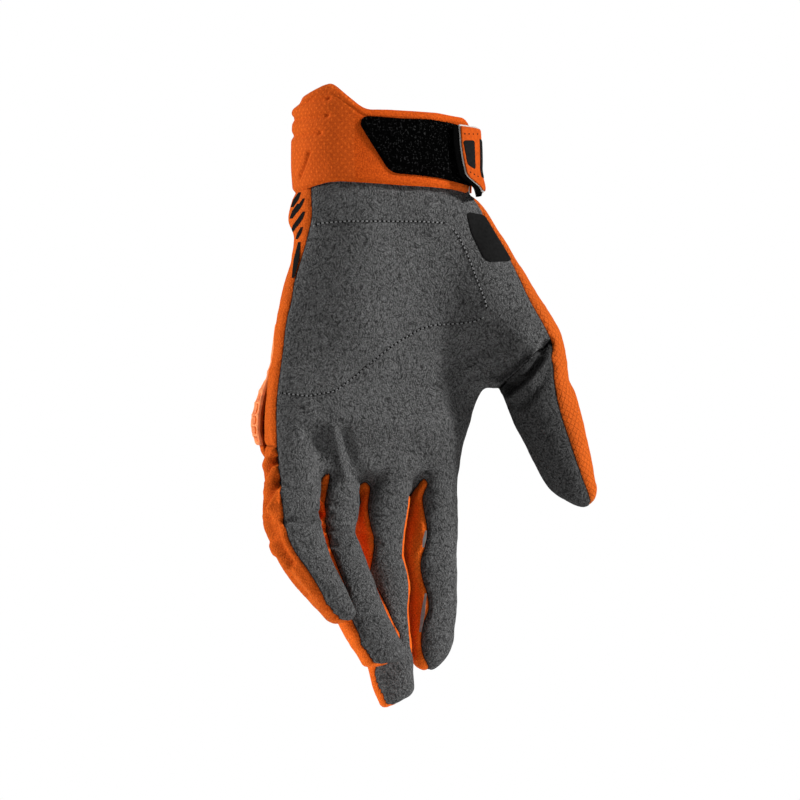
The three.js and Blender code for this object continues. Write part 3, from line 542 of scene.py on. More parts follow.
def bent_line(start, middle, end):
    """Points of a smooth curve that passes through its middle point."""
    start, middle, end = map(np.array, (start, middle, end))
    control = 2 * middle - (start + end) / 2
    return [tuple((1 - t) ** 2 * start + 2 * t * (1 - t) * control + t * t * end)
            for t in np.linspace(0, 1, BEND_POINTS)]


def smoothstep(x, low, high):
    t = np.clip((x - low) / (high - low), 0, 1)
    return t * t * (3 - 2 * t)


def roughness_field(points, size, octaves, seed):
    """Smooth noise at points, with features of a size in mm."""
    offset = Vector((seed * 17.3, seed * 5.1, seed * 9.7))
    return np.array([noise.fractal(Vector(p) / size + offset, 1.0, 2.0, octaves) for p in points])


def wrinkled(points, faces):
    """The skin pushed in along its creases and out over its mounds and loose folds."""
    normals = vertex_normals(points, faces)
    across, z = seen(points)
    facing = smoothstep(-(normals @ LOOK), 0.0, FACING)
    push = np.zeros(len(points))
    for start, middle, end, depth, width in CREASES:
        near = polyline_distance(across, z, bent_line(start, middle, end))
        push -= depth * np.exp(-(near / width) ** 2) * facing
    for centre, height, lift, wide, tall in MOUNDS:
        push += lift * np.exp(-((across - centre) / wide) ** 2 - ((z - height) / tall) ** 2) * facing
    for lift, size, octaves, seed, squeeze in UNEVEN:
        push += lift * roughness_field(points * [1, 1, squeeze], size, octaves, seed)
    return points + normals * push[:, None]


def hand_skin():
    """The hand's outer skin as one mesh with its faces pointing out."""
    shape = tuple(((HAND_HIGH - HAND_LOW) / VOXEL).astype(int))
    field = vdb.FloatGrid(FAR)
    field.copyFromArray(np.clip(hand_distance(shape, HAND_LOW), -FAR, FAR).astype(np.float32))
    points, _, quads = field.convertToPolygons(isovalue=0.0, adaptivity=0.0)
    points = HAND_LOW + VOXEL * points.astype(float)
    faces = halved(quads).astype(int)
    a, b, c = (points[faces[:, k]] for k in range(3))
    if np.einsum("ij,ij->i", a, np.cross(b, c)).sum() < 0:
        faces = faces[:, ::-1]
    return points, faces


def nearest_finger(fields):
    return np.argmin(np.stack([fields[name]["distance"] for name in FINGERS]), axis=0)


def turned(angle, centre):
    """An angle in degrees from a centre angle, from -180 to 180."""
    return (angle - centre + 180) % 360 - 180


def seam_fields(points):
    """Fields in mm that are above 0 inside each sewn panel's region."""
    across, z = seen(points)
    fields = {name: limb.field(points) for name, limb in LIMB.items()}
    palm = palm_field(points)
    finger = nearest_finger(fields)
    finger_distance = np.min(np.stack([fields[name]["distance"] for name in FINGERS]), axis=0)
    thumb = fields["thumb"]
    on_thumb = (thumb["distance"] < palm["distance"]) & (thumb["distance"] < finger_distance)
    on_finger = (points[:, 2] < FINGERS_FROM) & ~on_thumb

    # The line behind which nothing belongs to the front pieces.
    side = smoothstep(points[:, 0], *SIDE_BLEND)
    radial = np.interp(-points[:, 2], -RADIAL_DEPTH[:, 0], RADIAL_DEPTH[:, 1])
    depth = ULNAR_DEPTH * (1 - side) + radial * side
    front = depth - points[:, 1]
    strip = np.full(len(points), -50.0)
    owner = np.full(len(points), -1)
    for k, name in enumerate(FINGERS):
        mine = on_finger & (finger == k)
        limb = fields[name]
        unit = limb["radius"] * math.pi / 180
        middle = limb["forward"] + FRONT_REACH[name] + TIP_WRAP * limb["past"]
        if name != "index":
            slit = FINGERS[k - 1]
            seam = SIDE_SEAMS[name]
            right_seam = turned(limb["angle"], np.interp(-points[:, 2], -seam[:, 0], seam[:, 1])) * unit
            near_top = smoothstep(z, *NEAR_TOP)
            right_seam += (along_table(SLIT_LEFT_EDGES[slit], z) - across - right_seam) * near_top
            middle = np.minimum(middle, -smooth_min(-right_seam, SLIT_TOPS[slit] - z, SLIT_ROUNDING))
        if name in SLIT_SEAMS:
            left_seam = across + SLIT_SHIFT[name] - along_table(SLIT_SEAMS[name], z)
            over = along_table(SLIT_LEFT_EDGES[name], z) - across
            left_seam = np.maximum(left_seam, over - CLEAR * smoothstep(-z, *LEFT_EDGE_ENDS))
            left_seam = np.where(turned(limb["angle"], 90) < HIDDEN_SIDE, CLEAR, left_seam)
            middle = np.minimum(middle, -smooth_min(-left_seam, SLIT_TOPS[name] - z, SLIT_ROUNDING))
        front = np.where(mine, middle, front)
        left = turned(BACK_SEAMS[0], limb["angle"]) * unit
        right = turned(limb["angle"], BACK_SEAMS[1]) * unit
        on_left = turned(limb["angle"], 270) < 0
        if name != "little":
            strip = np.where(mine & on_left, left, strip)
            owner = np.where(mine & on_left, k, owner)
        if name != "index":
            strip = np.where(mine & ~on_left, right, strip)
            owner = np.where(mine & ~on_left, k - 1, owner)
    front = np.minimum(front, across + ULNAR_SHIFT - along_table(ULNAR_SEAM, z))
    off_middle = np.radians(turned(thumb["angle"], THUMB_PAD["angle"]))
    pad = thumb["radius"] * (np.cos(off_middle) + THUMB_PAD["share"])
    front = np.where(on_thumb, pad, front)
    front = np.minimum(front, along_table(THUMB_SEAM, z) + THUMB_SHIFT - across)

    slope = CREASE_LINE["slope"]
    past_crease = ((across - CREASE_LINE["across"]) * math.sin(slope)
                   - (z - CREASE_LINE["z"]) * math.cos(slope))
    thumb_side = np.minimum(past_crease, across - CREASE_LINE["left_end"])
    thumb_back = np.minimum(palm["distance"] - thumb["distance"] - THUMB_BACK["gap"],
                            points[:, 0] - THUMB_BACK["x"])
    strips = []
    for k in range(3):
        below_top = SLIT_TOPS[FINGERS[k]] + STRIP_OVERLAP - z
        strips.append(np.where(owner == k, np.minimum(strip, below_top), NOT_MINE))
    nearest = {key: np.choose(finger, [fields[name][key] for name in FINGERS])
               for key in ("angle", "radius", "run")}
    return {
        "front": front,
        "thumb_side": thumb_side,
        "thumb_back": thumb_back,
        "back": points[:, 2] - BACK_EDGE,
        "strip0": strips[0], "strip1": strips[1], "strip2": strips[2],
        "weave_palm": weave_of_limb(palm),
        "weave_thumb": weave_of_limb(thumb),
        "weave_finger": weave_of_limb(nearest),
    }


def weave_of_limb(fields):
    """Lengths round and along a limb, in mm, which its weave follows."""
    around = np.radians(turned(fields["angle"], 90)) * fields["radius"]
    return np.column_stack([around, fields["run"], np.zeros(len(around))])


def mesh_object(name, points, faces, columns, material):
    """A Blender mesh in metres, smooth shaded, with its vertex columns as attributes."""
    mesh = bpy.data.meshes.new(name)
    mesh.from_pydata((points * MM).tolist(), [], faces.tolist())
    for key, values in columns.items():
        kind, slot = ("FLOAT", "value") if values.ndim == 1 else ("FLOAT_VECTOR", "vector")
        layer = mesh.attributes.new(key, kind, "POINT")
        layer.data.foreach_set(slot, values.astype(np.float32).reshape(-1))
    mesh.polygons.foreach_set("use_smooth", [True] * len(mesh.polygons))
    mesh.materials.append(material)
    piece = bpy.data.objects.new(name, mesh)
    bpy.context.scene.collection.objects.link(piece)
    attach(piece, "root")
    return piece


def edge_distance(shell, limit):
    border = np.unique(shell.border())
    tree = KDTree(len(border))
    for i, p in enumerate(shell.points[border]):
        tree.insert(p, i)
    tree.balance()
    return np.array([min(tree.find(p)[2], limit) for p in shell.points])


# How far from an edge a panel is shaded, in groove widths and mm, and the width of its sunk border.
EDGE_REACH = {"widths": 4, "more": 2}
RECESS_WIDTH = 1.5


def panel(name, shell, material, thickness=FABRIC, groove=0.8, groove_width=1.1, recess=0.0, crisp=False):
    """A sewn sheet from an open shell: its edges dip into the seams and it gets a wall."""
    shell = shell.main_part()
    normals = shell.columns.pop("normal")
    near = edge_distance(shell, EDGE_REACH["widths"] * groove_width + EDGE_REACH["more"])
    dip = groove * np.exp(-(near / groove_width) ** 2) + recess * smoothstep(near, 0, RECESS_WIDTH)
    outer = shell.points - normals * dip[:, None]
    inner = outer - normals * thickness
    count = len(outer)
    rim = shell.border()
    rim_faces = np.concatenate([np.column_stack([rim[:, 1], rim[:, 0], rim[:, 0] + count]),
                                np.column_stack([rim[:, 1], rim[:, 0] + count, rim[:, 1] + count])])
    copies = 2
    if crisp:
        rim_faces = rim_faces + 2 * count
        copies = 4
    faces = np.concatenate([shell.faces, shell.faces[:, ::-1] + count, rim_faces])
    columns = {k: np.concatenate([v] * copies) for k, v in shell.columns.items()}
    columns["edge"] = np.concatenate([near] * copies)
    points = np.concatenate([outer, inner] * (copies // 2))
    used, faces = np.unique(faces, return_inverse=True)
    columns = {k: v[used] for k, v in columns.items()}
    return mesh_object(name, points[used], faces.reshape(-1, 3), columns, material)


# The cuff's outer face in level sections: z, x, y, half width, half depth.
CUFF = np.array([
    (-32.0, -2.4, 0.3, 34.7, 22.9),
    (-16.0, -2.8, 0.0, 35.6, 23.0),
    (-4.0, -2.8, 0.0, 35.0, 22.8),
    (4.0, -3.0, 0.2, 34.7, 22.5),
    (15.0, -2.9, 0.4, 32.6, 21.8),
])
CUFF_Z, CUFF_ROWS = smooth_table(CUFF)
# The cuff's edges as the camera sees them: across, z in the view plane.
CUFF_TOP_SEEN = np.array([
    (-35.8, 0.6), (-35.4, 3.9), (-34.8, 5.2), (-33.0, 7.3), (-29.1, 9.7), (-25.2, 11.6),
    (-22.5, 12.3), (-20.2, 11.5), (-16.4, 8.3), (-10.2, 3.4), (-7.5, 2.3), (0.6, 2.2), (10.6, 1.6),
    (19.8, 0.9), (25.2, -0.2), (29.5, -1.0), (32.1, -2.8),
])
CUFF_BOTTOM_SEEN = np.array([
    (-36.4, -30.8), (-33.3, -28.9), (-29.1, -27.3), (-23.7, -25.8), (-18.3, -25.4), (-4.4, -26.2),
    (6.4, -27.0), (17.1, -27.6), (25.2, -28.5), (29.5, -29.5), (33.3, -31.0),
])
CUFF_SEEN_ANGLES = (26.0, 178.0)
CUFF_ANGLE_STEP = 4.0
CUFF_MIDDLE = -10.0  # height where the search for a seen line starts
CUFF_WEAVE_RADIUS = 30  # turns an angle into a length round the cuff
# Heights of the edges behind, by angle: angle, top, bottom.
CUFF_BACK_EDGES = np.array([
    (200.0, 1.6, -30.4), (230.0, 2.4, -30.4), (270.0, 2.6, -30.2),
    (310.0, -0.6, -30.2), (345.0, -4.6, -30.4), (368.0, -5.4, -30.6),
])
CUFF_SPLIT = (12.0, 121.0)  # angles of the two seams of the cuff
CUFF_GRIDS = {"cuff_palm": (60, 150), "cuff_back": (76, 320)}  # rows and columns
PADDING = 2.2
# Ribs of the cuff's back piece: grooves at a height that end in a dimple: z, end across, rise.
CUFF_GROOVES = [(6.4, -23.0, 0.16), (-0.2, -23.4, 0.12), (-7.0, -26.4, 0.10)]
# Depth and width of a groove, and where it fades: across past its end, and by angle at both sides.
GROOVE = {"depth": 1.0, "width": 1.2, "end": (-1.5, 3.0), "start": (118, 136), "stop": (-230, -190)}
DIMPLE = {"depth": 1.1, "wide": 1.1, "tall": 0.8, "last_angle": 175}
CUFF_SLIT = [(-30.2, -14.2), (-31.8, -18.6), (-34.1, -23.9)]
SLIT_DENT = {"depth": 1.0, "width": 0.6, "last_angle": 178}
# The rounded hem, and a sewn line beside the top one: depths, widths, its place and lowest height.
HEM = {"depth": 0.9, "width": 0.9, "line": 0.35, "line_width": 0.5, "line_at": 3.2, "line_above": -12}
CUFF_UNEVEN = (0.25, 14.0, 2, 5)  # height, size of the features, octaves, seed


def on_rings(grid_z, rows, angle, z, offset):
    """Points of a ringed form at angles in degrees and heights, moved out by an offset."""
    x0, y0, half_width, half_depth = section(grid_z, rows, z)
    c, s = np.cos(np.radians(angle)), np.sin(np.radians(angle))
    power = 2 / PALM_SQUARENESS
    x = np.sign(c) * np.abs(c) ** power * (half_width + offset)
    forward = np.sign(s) * np.abs(s) ** power * (half_depth + offset)
    return np.column_stack([x0 + x, y0 - forward, z])


def grid_shell(rows, columns, surface):
    """A shell over shares from 0 to 1 along two directions of a surface."""
    u, v = np.meshgrid(np.linspace(0, 1, columns + 1), np.linspace(0, 1, rows + 1), indexing="ij")
    points, weave = surface(u.reshape(-1), v.reshape(-1))
    faces = grid_faces(u.shape)
    normals = vertex_normals(points, faces)
    middle = points.mean(0) * [0, 0, 1]
    if ((points - middle) * normals)[:, :2].sum() < 0:
        faces, normals = faces[:, ::-1], -normals
    return Shell(points, faces, {"normal": normals, "weave": weave})


def height_seen(angle, table):
    """Heights on the cuff at angles, so that the camera sees them on a line of the view plane."""
    z = np.full(len(angle), CUFF_MIDDLE)
    for _ in range(8):
        across, seen_z = seen(on_rings(CUFF_Z, CUFF_ROWS, angle, z, 0.0))
        z = z + np.interp(across, table[:, 0], table[:, 1]) - seen_z
    return z


def cuff_edges():
    """Rows of angle, top and bottom all round, with both ends overlapping."""
    angle = np.arange(CUFF_SEEN_ANGLES[0], CUFF_SEEN_ANGLES[1] + 1, CUFF_ANGLE_STEP)
    front = np.column_stack([angle, height_seen(angle, CUFF_TOP_SEEN), height_seen(angle, CUFF_BOTTOM_SEEN)])
    rows = np.concatenate([front, CUFF_BACK_EDGES])
    turn = np.array([360.0, 0, 0])
    return np.concatenate([rows[-3:] - turn, rows, rows[:3] + turn])


def weave_of(angle, z):
    return np.column_stack([np.radians(angle) * CUFF_WEAVE_RADIUS, z, np.zeros(len(z))])


CUFF_EDGES = cuff_edges()


def cuff_surface(low, high):
    def surface(u, v):
        angle = low + (high - low) * u
        edges = [np.interp(angle, *smooth_columns(CUFF_EDGES, k)) for k in (0, 1)]
        z = edges[0] + (edges[1] - edges[0]) * v
        points = on_rings(CUFF_Z, CUFF_ROWS, angle, z, 0.0)
        across, height = seen(points)
        out = np.zeros(len(z))
        for level, end, rise in CUFF_GROOVES:
            line = level + (across - end) * rise
            inside = smoothstep(end - across, *GROOVE["end"]) * smoothstep(angle, *GROOVE["start"])
            inside = inside * smoothstep(-angle, *GROOVE["stop"])
            out -= GROOVE["depth"] * np.exp(-((height - line) / GROOVE["width"]) ** 2) * inside
            off = ((across - end) / DIMPLE["wide"]) ** 2 + ((height - line) / DIMPLE["tall"]) ** 2
            out -= DIMPLE["depth"] * np.exp(-off) * (angle < DIMPLE["last_angle"])
        off = polyline_distance(across, height, CUFF_SLIT) / SLIT_DENT["width"]
        out -= SLIT_DENT["depth"] * np.exp(-off ** 2) * (angle < SLIT_DENT["last_angle"])
        rise, *features = CUFF_UNEVEN
        out += rise * roughness_field(points, *features)
        hem = np.minimum(edges[0] - z, z - edges[1])
        line = np.exp(-((hem - HEM["line_at"]) / HEM["line_width"]) ** 2) * (z > HEM["line_above"])
        out -= HEM["depth"] * np.exp(-(hem / HEM["width"]) ** 2) + HEM["line"] * line
        return on_rings(CUFF_Z, CUFF_ROWS, angle, z, out), weave_of(angle, z)
    return surface


def smooth_columns(table, k):
    grid, values = smooth_table(table)
    return grid, values[:, k]


def build_cuff(materials):
    low, high = CUFF_SPLIT
    palm = grid_shell(*CUFF_GRIDS["cuff_palm"], cuff_surface(low, high))
    back = grid_shell(*CUFF_GRIDS["cuff_back"], cuff_surface(high, low + 360))
    for name, shell, knit in (("cuff_palm", palm, "plain_knit"), ("cuff_back", back, "knit")):
        piece = panel(name + "_knit", shell, materials[knit], PADDING, 0.0, crisp=True)
        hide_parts(name)


# The loop patch as the camera sees it, (across, z); its right end lies under the strap.
LOOP_OUTLINE = [
    (-10.6, -3.2), (-9.2, -0.5), (-6.0, -0.3), (6.4, -1.2), (16.4, -1.5), (24.0, -2.8),
    (29.8, -4.2), (40.0, -6.0), (40.0, -30.0), (31.4, -27.0), (21.0, -24.3), (12.1, -23.1),
    (3.4, -22.4), (0.4, -20.6),
]
LOOP = {"from": 27.0, "to": 124.0, "top": 3.0, "bottom": -30.0, "pile": 1.1, "corner": 1.2}


def rounded_outline(corners, radius):
    """The outline with each corner replaced by a short curve."""
    corners = np.array(corners)
    points = []
    for before, corner, after in zip(np.roll(corners, 1, 0), corners, np.roll(corners, -1, 0)):
        into, out = before - corner, after - corner
        reach = min(radius, 0.45 * np.linalg.norm(into), 0.45 * np.linalg.norm(out))
        a = corner + into / np.linalg.norm(into) * reach
        b = corner + out / np.linalg.norm(out) * reach
        points += [a, (a + 2 * corner + b) / 4, b]
    return np.array(points)


def inside_outline(x, y, outline):
    """Distance to an outline, above 0 inside it."""
    line = np.concatenate([outline, outline[:1]])
    inside = np.zeros(len(x), bool)
    for (x0, y0), (x1, y1) in zip(line[:-1], line[1:]):
        crosses = (y0 > y) != (y1 > y)
        inside ^= crosses & (x < (x1 - x0) * (y - y0) / np.where(y1 == y0, 1, y1 - y0) + x0)
    return np.where(inside, 1, -1) * polyline_distance(x, y, line)


def build_loop_patch(material):
    def surface(u, v):
        angle = LOOP["from"] + (LOOP["to"] - LOOP["from"]) * u
        z = LOOP["top"] + (LOOP["bottom"] - LOOP["top"]) * v
        return on_rings(CUFF_Z, CUFF_ROWS, angle, z, LOOP["pile"]), weave_of(angle, z)
    shell = grid_shell(80, 170, surface)
    across, z = seen(shell.points)
    shell, _ = shell.cut(inside_outline(across, z, rounded_outline(LOOP_OUTLINE, LOOP["corner"])))
    piece = panel("loop_pile", shell, material, 0.9, 0.5, 0.5)
    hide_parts("loop_patch")


# The wrap strap: from its sewn root behind to its free end, by angle, and its edges' heights.
STRAP = {"root": -84.0, "end": 66.0, "top": -4.8, "bottom": -29.6}
# The strap's free end as the camera sees it: z, across.
STRAP_END = np.array([
    (-33.0, 37.4), (-29.6, 36.8), (-27.7, 36.0), (-25.6, 33.7), (-23.5, 31.2), (-19.6, 29.8),
    (-13.9, 28.7), (-3.0, 27.8),
])
# Layers of the strap: lift, inset, inset at the free end, wall, how far it hangs below the others.
# The first layer is the strap's black hook side; where it reaches past the foam's free end and hangs below
# the other layers it is a dark sheet of painted shade under the strap.
STRAP_LAYERS = {
    "hook_and_shade": (1.6, 0.5, -2.6, 0.5, 1.8), "foam": (2.3, 0.0, 0.0, 0.8, 0.0), "face": (2.9, 0.6, 0.6, 0.5, 0.0),
}
# The strap's rise off the cuff: everywhere, more at its end and more at the end's lower corner,
# and the angles and depths over which these come in.
STRAP_RISE = {"all": 0.4, "end": 1.2, "corner": 1.8, "angles": (-10, 26), "depths": (20, 29)}
DEGREES_TO_MM = 1.6  # degrees round the cuff that an inset of 1 mm takes
# Flat panels on the strap: from and to angle, top and bottom.
STRAP_PANELS = {
    "strap_panel_front": (26.0, 62.0, -7.0, -24.0),
    "strap_panel_side": (2.0, 34.0, -9.4, -24.0),
    "strap_panel_back": (-66.0, -20.0, -9.4, -23.6),
}
PANEL_COLUMNS = 1.8  # to a degree
PANEL_CORNER = 0.9
# The front panel and the sewn lines as the camera sees them, (across, z).
STRAP_PANEL_END = [(29.3, -9.7), (33.7, -9.7), (34.1, -21.0), (31.0, -19.0)]
STRAP_SEAMS = [[(29.4, -7.2), (37.0, -7.4)], [(31.6, -21.8), (33.6, -23.0), (37.2, -24.8)]]


def strap_lift(angle, z):
    """Rise off the cuff: more towards the free end, and most at its lower corner."""
    near_end = smoothstep(angle, *STRAP_RISE["angles"])
    corner = smoothstep(-z, *STRAP_RISE["depths"])
    return STRAP_RISE["all"] + near_end * (STRAP_RISE["end"] + STRAP_RISE["corner"] * corner)


STRAP_PANEL_LIFT = STRAP_LAYERS["face"][0] + 0.25


def strap_surface(lift, inset, low=STRAP["root"], high=STRAP["end"], top=STRAP["top"],
                  bottom=STRAP["bottom"]):
    def surface(u, v):
        angle = low + inset * DEGREES_TO_MM + (high - low - inset * DEGREES_TO_MM) * u
        z = (top - inset) + (bottom - top + 2 * inset) * v
        return on_rings(CUFF_Z, CUFF_ROWS, angle, z, strap_lift(angle, z) + lift), weave_of(angle, z)
    return surface


def ended(shell, inset):
    """The sheet without what lies past the strap's free end."""
    across, z = seen(shell.points)
    field = np.where(shell.columns["weave"][:, 0] < 0, CLEAR, across - inset - along_table(STRAP_END, z))
    return shell.cut(field)[0]


def build_strap(materials):
    for layer, (lift, inset, end_inset, wall, drop) in STRAP_LAYERS.items():
        surface = strap_surface(lift, inset, bottom=STRAP["bottom"] - drop)
        shell = ended(grid_shell(44, 180, surface), end_inset)
        if layer == "face":
            tree = BVHTree.FromPolygons((shell.points * MM).tolist(), shell.faces.tolist())
        piece = panel("strap_" + layer, shell, materials[layer], wall, 0.2, 0.4)
        if layer == "foam":
            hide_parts("strap")
    for name, (low, high, top, bottom) in STRAP_PANELS.items():
        surface = strap_surface(STRAP_PANEL_LIFT, 0.0, low, high, top, bottom)
        shell = grid_shell(40, int((high - low) * PANEL_COLUMNS), surface)
        if name == "strap_panel_front":
            across, z = seen(shell.points)
            shell, _ = shell.cut(inside_outline(across, z, rounded_outline(STRAP_PANEL_END, PANEL_CORNER)))
        piece = panel(name + "_flat", shell, materials["print"], 0.3, 0.15, 0.35)
        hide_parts(name)
    build_stitches(tree, STRAP_SEAMS, "strap_stitches", materials["print"], None)


# The knuckle guard: rise off the hand by angle and share of it by height.
GUARD = {"top": -80.0, "bottom": -127.0, "from": 190.0, "to": 346.0, "wall": 2.4}
GUARD_RISE = np.array([
    (190.0, 3.0), (202.0, 6.6), (218.0, 8.4), (250.0, 6.8), (290.0, 6.2), (330.0, 5.0), (346.0, 3.0),
])
GUARD_CROWN = np.array([
    (-132.0, 0.45), (-129.0, 0.66), (-127.4, 0.7), (-126.6, 0.74), (-125.0, 0.8), (-122.0, 1.0),
    (-115.0, 1.0), (-108.0, 0.76), (-101.0, 0.32), (-95.0, 0.02), (-88.0, 0.0), (-80.0, 0.0),
])
GUARD_LIFT = np.array([(222.0, 0.5), (245.0, 2.1)])  # off the hand, by angle
GUARD_BED = {"depth": 1.6, "margin": 0.8, "lip": 4.4, "wall": 0.7}
GUARD_WEAVE_RADIUS = 38.0  # turns an angle into a length along the guard
LATTICE = {"pitch": 7.4, "rib": 0.8, "border": 2.6}
KNUCKLES = (219.0, 249.0, 277.0, 304.0)  # angles of the domes over the knuckles
KNUCKLE_WIDTH = 8.0  # degrees
DOME = {"between": 0.86, "over": 0.2}  # shares of the rise between the knuckles and more over them
# Windows of the guard's flank: height of the centre, tall, wide.
GUARD_WINDOWS = np.array([
    (-96.4, 4.4, 4.6), (-102.4, 5.8, 6.2), (-108.4, 3.6, 6.4), (-112.9, 4.2, 6.6), (-117.3, 3.4, 6.2),
    (-121.3, 3.4, 6.4), (-124.7, 2.2, 5.4),
])
FLANK = {"centre": 197.8, "end": 205.0}


def guard_surface(depth, margin, lip):
    """The guard's face, or the bed a depth below it, with a margin inside it and a lip under it."""
    inset = math.degrees(margin / GUARD_WEAVE_RADIUS)
    low, high = GUARD["from"] + inset, GUARD["to"] - inset

    def surface(u, v):
        angle = low + (high - low) * u
        z = GUARD["top"] - margin + (GUARD["bottom"] - lip - GUARD["top"] + margin) * v
        rise = np.interp(angle, GUARD_RISE[:, 0], GUARD_RISE[:, 1])
        domes = sum(np.exp(-((angle - knuckle) / KNUCKLE_WIDTH) ** 2) for knuckle in KNUCKLES)
        crown = np.interp(z, GUARD_CROWN[:, 0], GUARD_CROWN[:, 1])
        rise = rise * crown * (DOME["between"] + DOME["over"] * domes)
        weave = np.column_stack([np.radians(angle) * GUARD_WEAVE_RADIUS, z, np.zeros(len(z))])
        lift = np.interp(angle, GUARD_LIFT[:, 0], GUARD_LIFT[:, 1])
        return on_rings(PALM_Z, PALM_ROWS, angle, z, lift + rise - depth), weave
    return surface


def build_guard(rubber, bed):
    shell = grid_shell(80, 190, guard_surface(0.0, 0.0, 0.0))
    shell, _ = shell.cut(lattice_field(shell.columns["weave"]))
    piece = panel("guard_lattice", shell, rubber, GUARD["wall"], 0.7, 0.7)
    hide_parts("knuckle_guard")
    shell = grid_shell(60, 130, guard_surface(GUARD_BED["depth"], GUARD_BED["margin"], GUARD_BED["lip"]))
    piece = panel("guard_bed", shell, bed, GUARD_BED["wall"], 0.3)


def lattice_field(weave):
    """Above 0 on the flank, the ribs of a triangle lattice and the plain border."""
    x, z = weave[:, 0], weave[:, 1]
    pitch = LATTICE["pitch"]
    field = np.full(len(x), -50.0)
    for turn in (90, 30, 150):
        c, s = math.cos(math.radians(turn)), math.sin(math.radians(turn))
        along = (x * c + z * s) / pitch
        field = np.maximum(field, LATTICE["rib"] - np.abs(along - np.round(along)) * pitch)
    angles = np.radians([GUARD["from"], GUARD["to"], FLANK["centre"], FLANK["end"]])
    low, high, centre, end = angles * GUARD_WEAVE_RADIUS
    edge = np.minimum(np.minimum(x - low, high - x), np.minimum(GUARD["top"] - z, z - GUARD["bottom"]))
    field = np.maximum(field, LATTICE["border"] - edge)
    flank = np.full(len(x), CLEAR)
    for height, tall, wide in GUARD_WINDOWS:
        reach = (np.abs((x - centre) / wide * 2) ** 3 + np.abs((z - height) / tall * 2) ** 3) ** (1 / 3)
        flank = np.minimum(flank, (reach - 1) * tall / 2)
    return np.where(x < end, flank, field)


SHEEN_TINT = (1.0, 0.34, 0.04, 1.0)


def socket_material(name, roughness, specular=0.2, sheen=0.0):
    material = bpy.data.materials.new(name)
    material.use_nodes = True
    shader = material.node_tree.nodes["Principled BSDF"]
    shader.inputs["Roughness"].default_value = roughness
    shader.inputs["Specular IOR Level"].default_value = specular
    shader.inputs["Sheen Weight"].default_value = sheen
    shader.inputs["Sheen Tint"].default_value = SHEEN_TINT
    return material, material.node_tree, shader


def add(tree, kind, settings=(), **inputs):
    node = tree.nodes.new(kind)
    for key, value in dict(settings).items():
        setattr(node, key, value)
    for key, value in inputs.items():
        socket = node.inputs[key.replace("_", " ")]
        if isinstance(value, bpy.types.NodeSocket):
            tree.links.new(value, socket)
        else:
            socket.default_value = value
    return node


def ramp(tree, factor, stops):
    node = tree.nodes.new("ShaderNodeValToRGB")
    tree.links.new(factor, node.inputs["Fac"])
    elements = node.color_ramp.elements
    while len(elements) < len(stops):
        elements.new(0.5)
    for element, (place, color) in zip(elements, stops):
        element.position = place
        element.color = (*color, 1)
    return node.outputs["Color"]


def bump(tree, shader, height, distance, strength=1.0, previous=None):
    node = add(tree, "ShaderNodeBump", Height=height, Distance=distance, Strength=strength)
    if previous is not None:
        tree.links.new(previous.outputs["Normal"], node.inputs["Normal"])
    tree.links.new(node.outputs["Normal"], shader.inputs["Normal"])
    return node


def edge_shade(tree, color, low):
    """The colour, darkened beside a seam as painted shade."""
    edge = add(tree, "ShaderNodeAttribute", {"attribute_name": "edge"}).outputs["Fac"]
    shade = ramp(tree, edge, [(0.15, (low, low, low)), (0.65, (1, 1, 1))])
    mix = add(tree, "ShaderNodeMix", {"data_type": "RGBA", "blend_type": "MULTIPLY"})
    mix.inputs["Factor"].default_value = 1.0
    tree.links.new(color, mix.inputs["A"])
    tree.links.new(shade, mix.inputs["B"])
    return mix.outputs["Result"]


SUEDE_GRAYS = ((0.0, 0.024), (0.26, 0.077), (0.52, 0.14))  # from the cracks up to the grains


def suede_material(name, shade):
    """Pebbled suede: small light grains parted by dark cracks, with a faint net of wrinkles; a shade below 1
    makes a darker copy of it as painted shade, and it is darkened beside its seams as painted shade.
    """
    material, tree, shader = socket_material(name, 0.9, 0.0)
    place = tree.nodes.new("ShaderNodeTexCoord").outputs["Object"]
    warp = add(tree, "ShaderNodeTexNoise", Vector=place, Scale=140.0, Detail=2.0)
    warped = add(tree, "ShaderNodeVectorMath", {"operation": "MULTIPLY_ADD"})
    tree.links.new(warp.outputs["Color"], warped.inputs[0])
    warped.inputs[1].default_value = (0.009, 0.009, 0.009)
    tree.links.new(place, warped.inputs[2])
    streaks = add(tree, "ShaderNodeMapping", Vector=warped.outputs["Vector"],
                  Rotation=(0.0, math.radians(35), 0.0), Scale=(1.0, 1.0, 0.6)).outputs["Vector"]
    pebbles = add(tree, "ShaderNodeTexVoronoi", {"feature": "F1"}, Vector=streaks, Scale=1300.0)
    grain = add(tree, "ShaderNodeTexNoise", Vector=place, Scale=1700.0, Detail=3.0, Roughness=0.65)
    mixed = add(tree, "ShaderNodeMath", {"operation": "MULTIPLY_ADD"})
    tree.links.new(pebbles.outputs["Distance"], mixed.inputs[0])
    mixed.inputs[1].default_value = -0.5
    tree.links.new(grain.outputs["Fac"], mixed.inputs[2])
    stops = [(spot, (gray * shade,) * 3) for spot, gray in SUEDE_GRAYS]
    color = ramp(tree, mixed.outputs["Value"], stops)
    tree.links.new(edge_shade(tree, color, 0.12), shader.inputs["Base Color"])
    wrinkles = add(tree, "ShaderNodeTexVoronoi", {"feature": "DISTANCE_TO_EDGE"},
                   Vector=warped.outputs["Vector"], Scale=210.0)
    lines = ramp(tree, wrinkles.outputs["Distance"], [(0.0, (0, 0, 0)), (0.12, (1, 1, 1))])
    first = bump(tree, shader, lines, 0.0003, 0.45)
    bump(tree, shader, mixed.outputs["Value"], 0.001, 0.9, first)
    return material


WHITE, BLACK = (1, 1, 1), (0, 0, 0)
PATTERNS = {
    "dots": {"feature": "F1", "stops": [(0.12, WHITE), (0.3, BLACK)]},
    "grid": {"feature": "DISTANCE_TO_EDGE", "stops": [(0.03, BLACK), (0.13, WHITE)]},
}


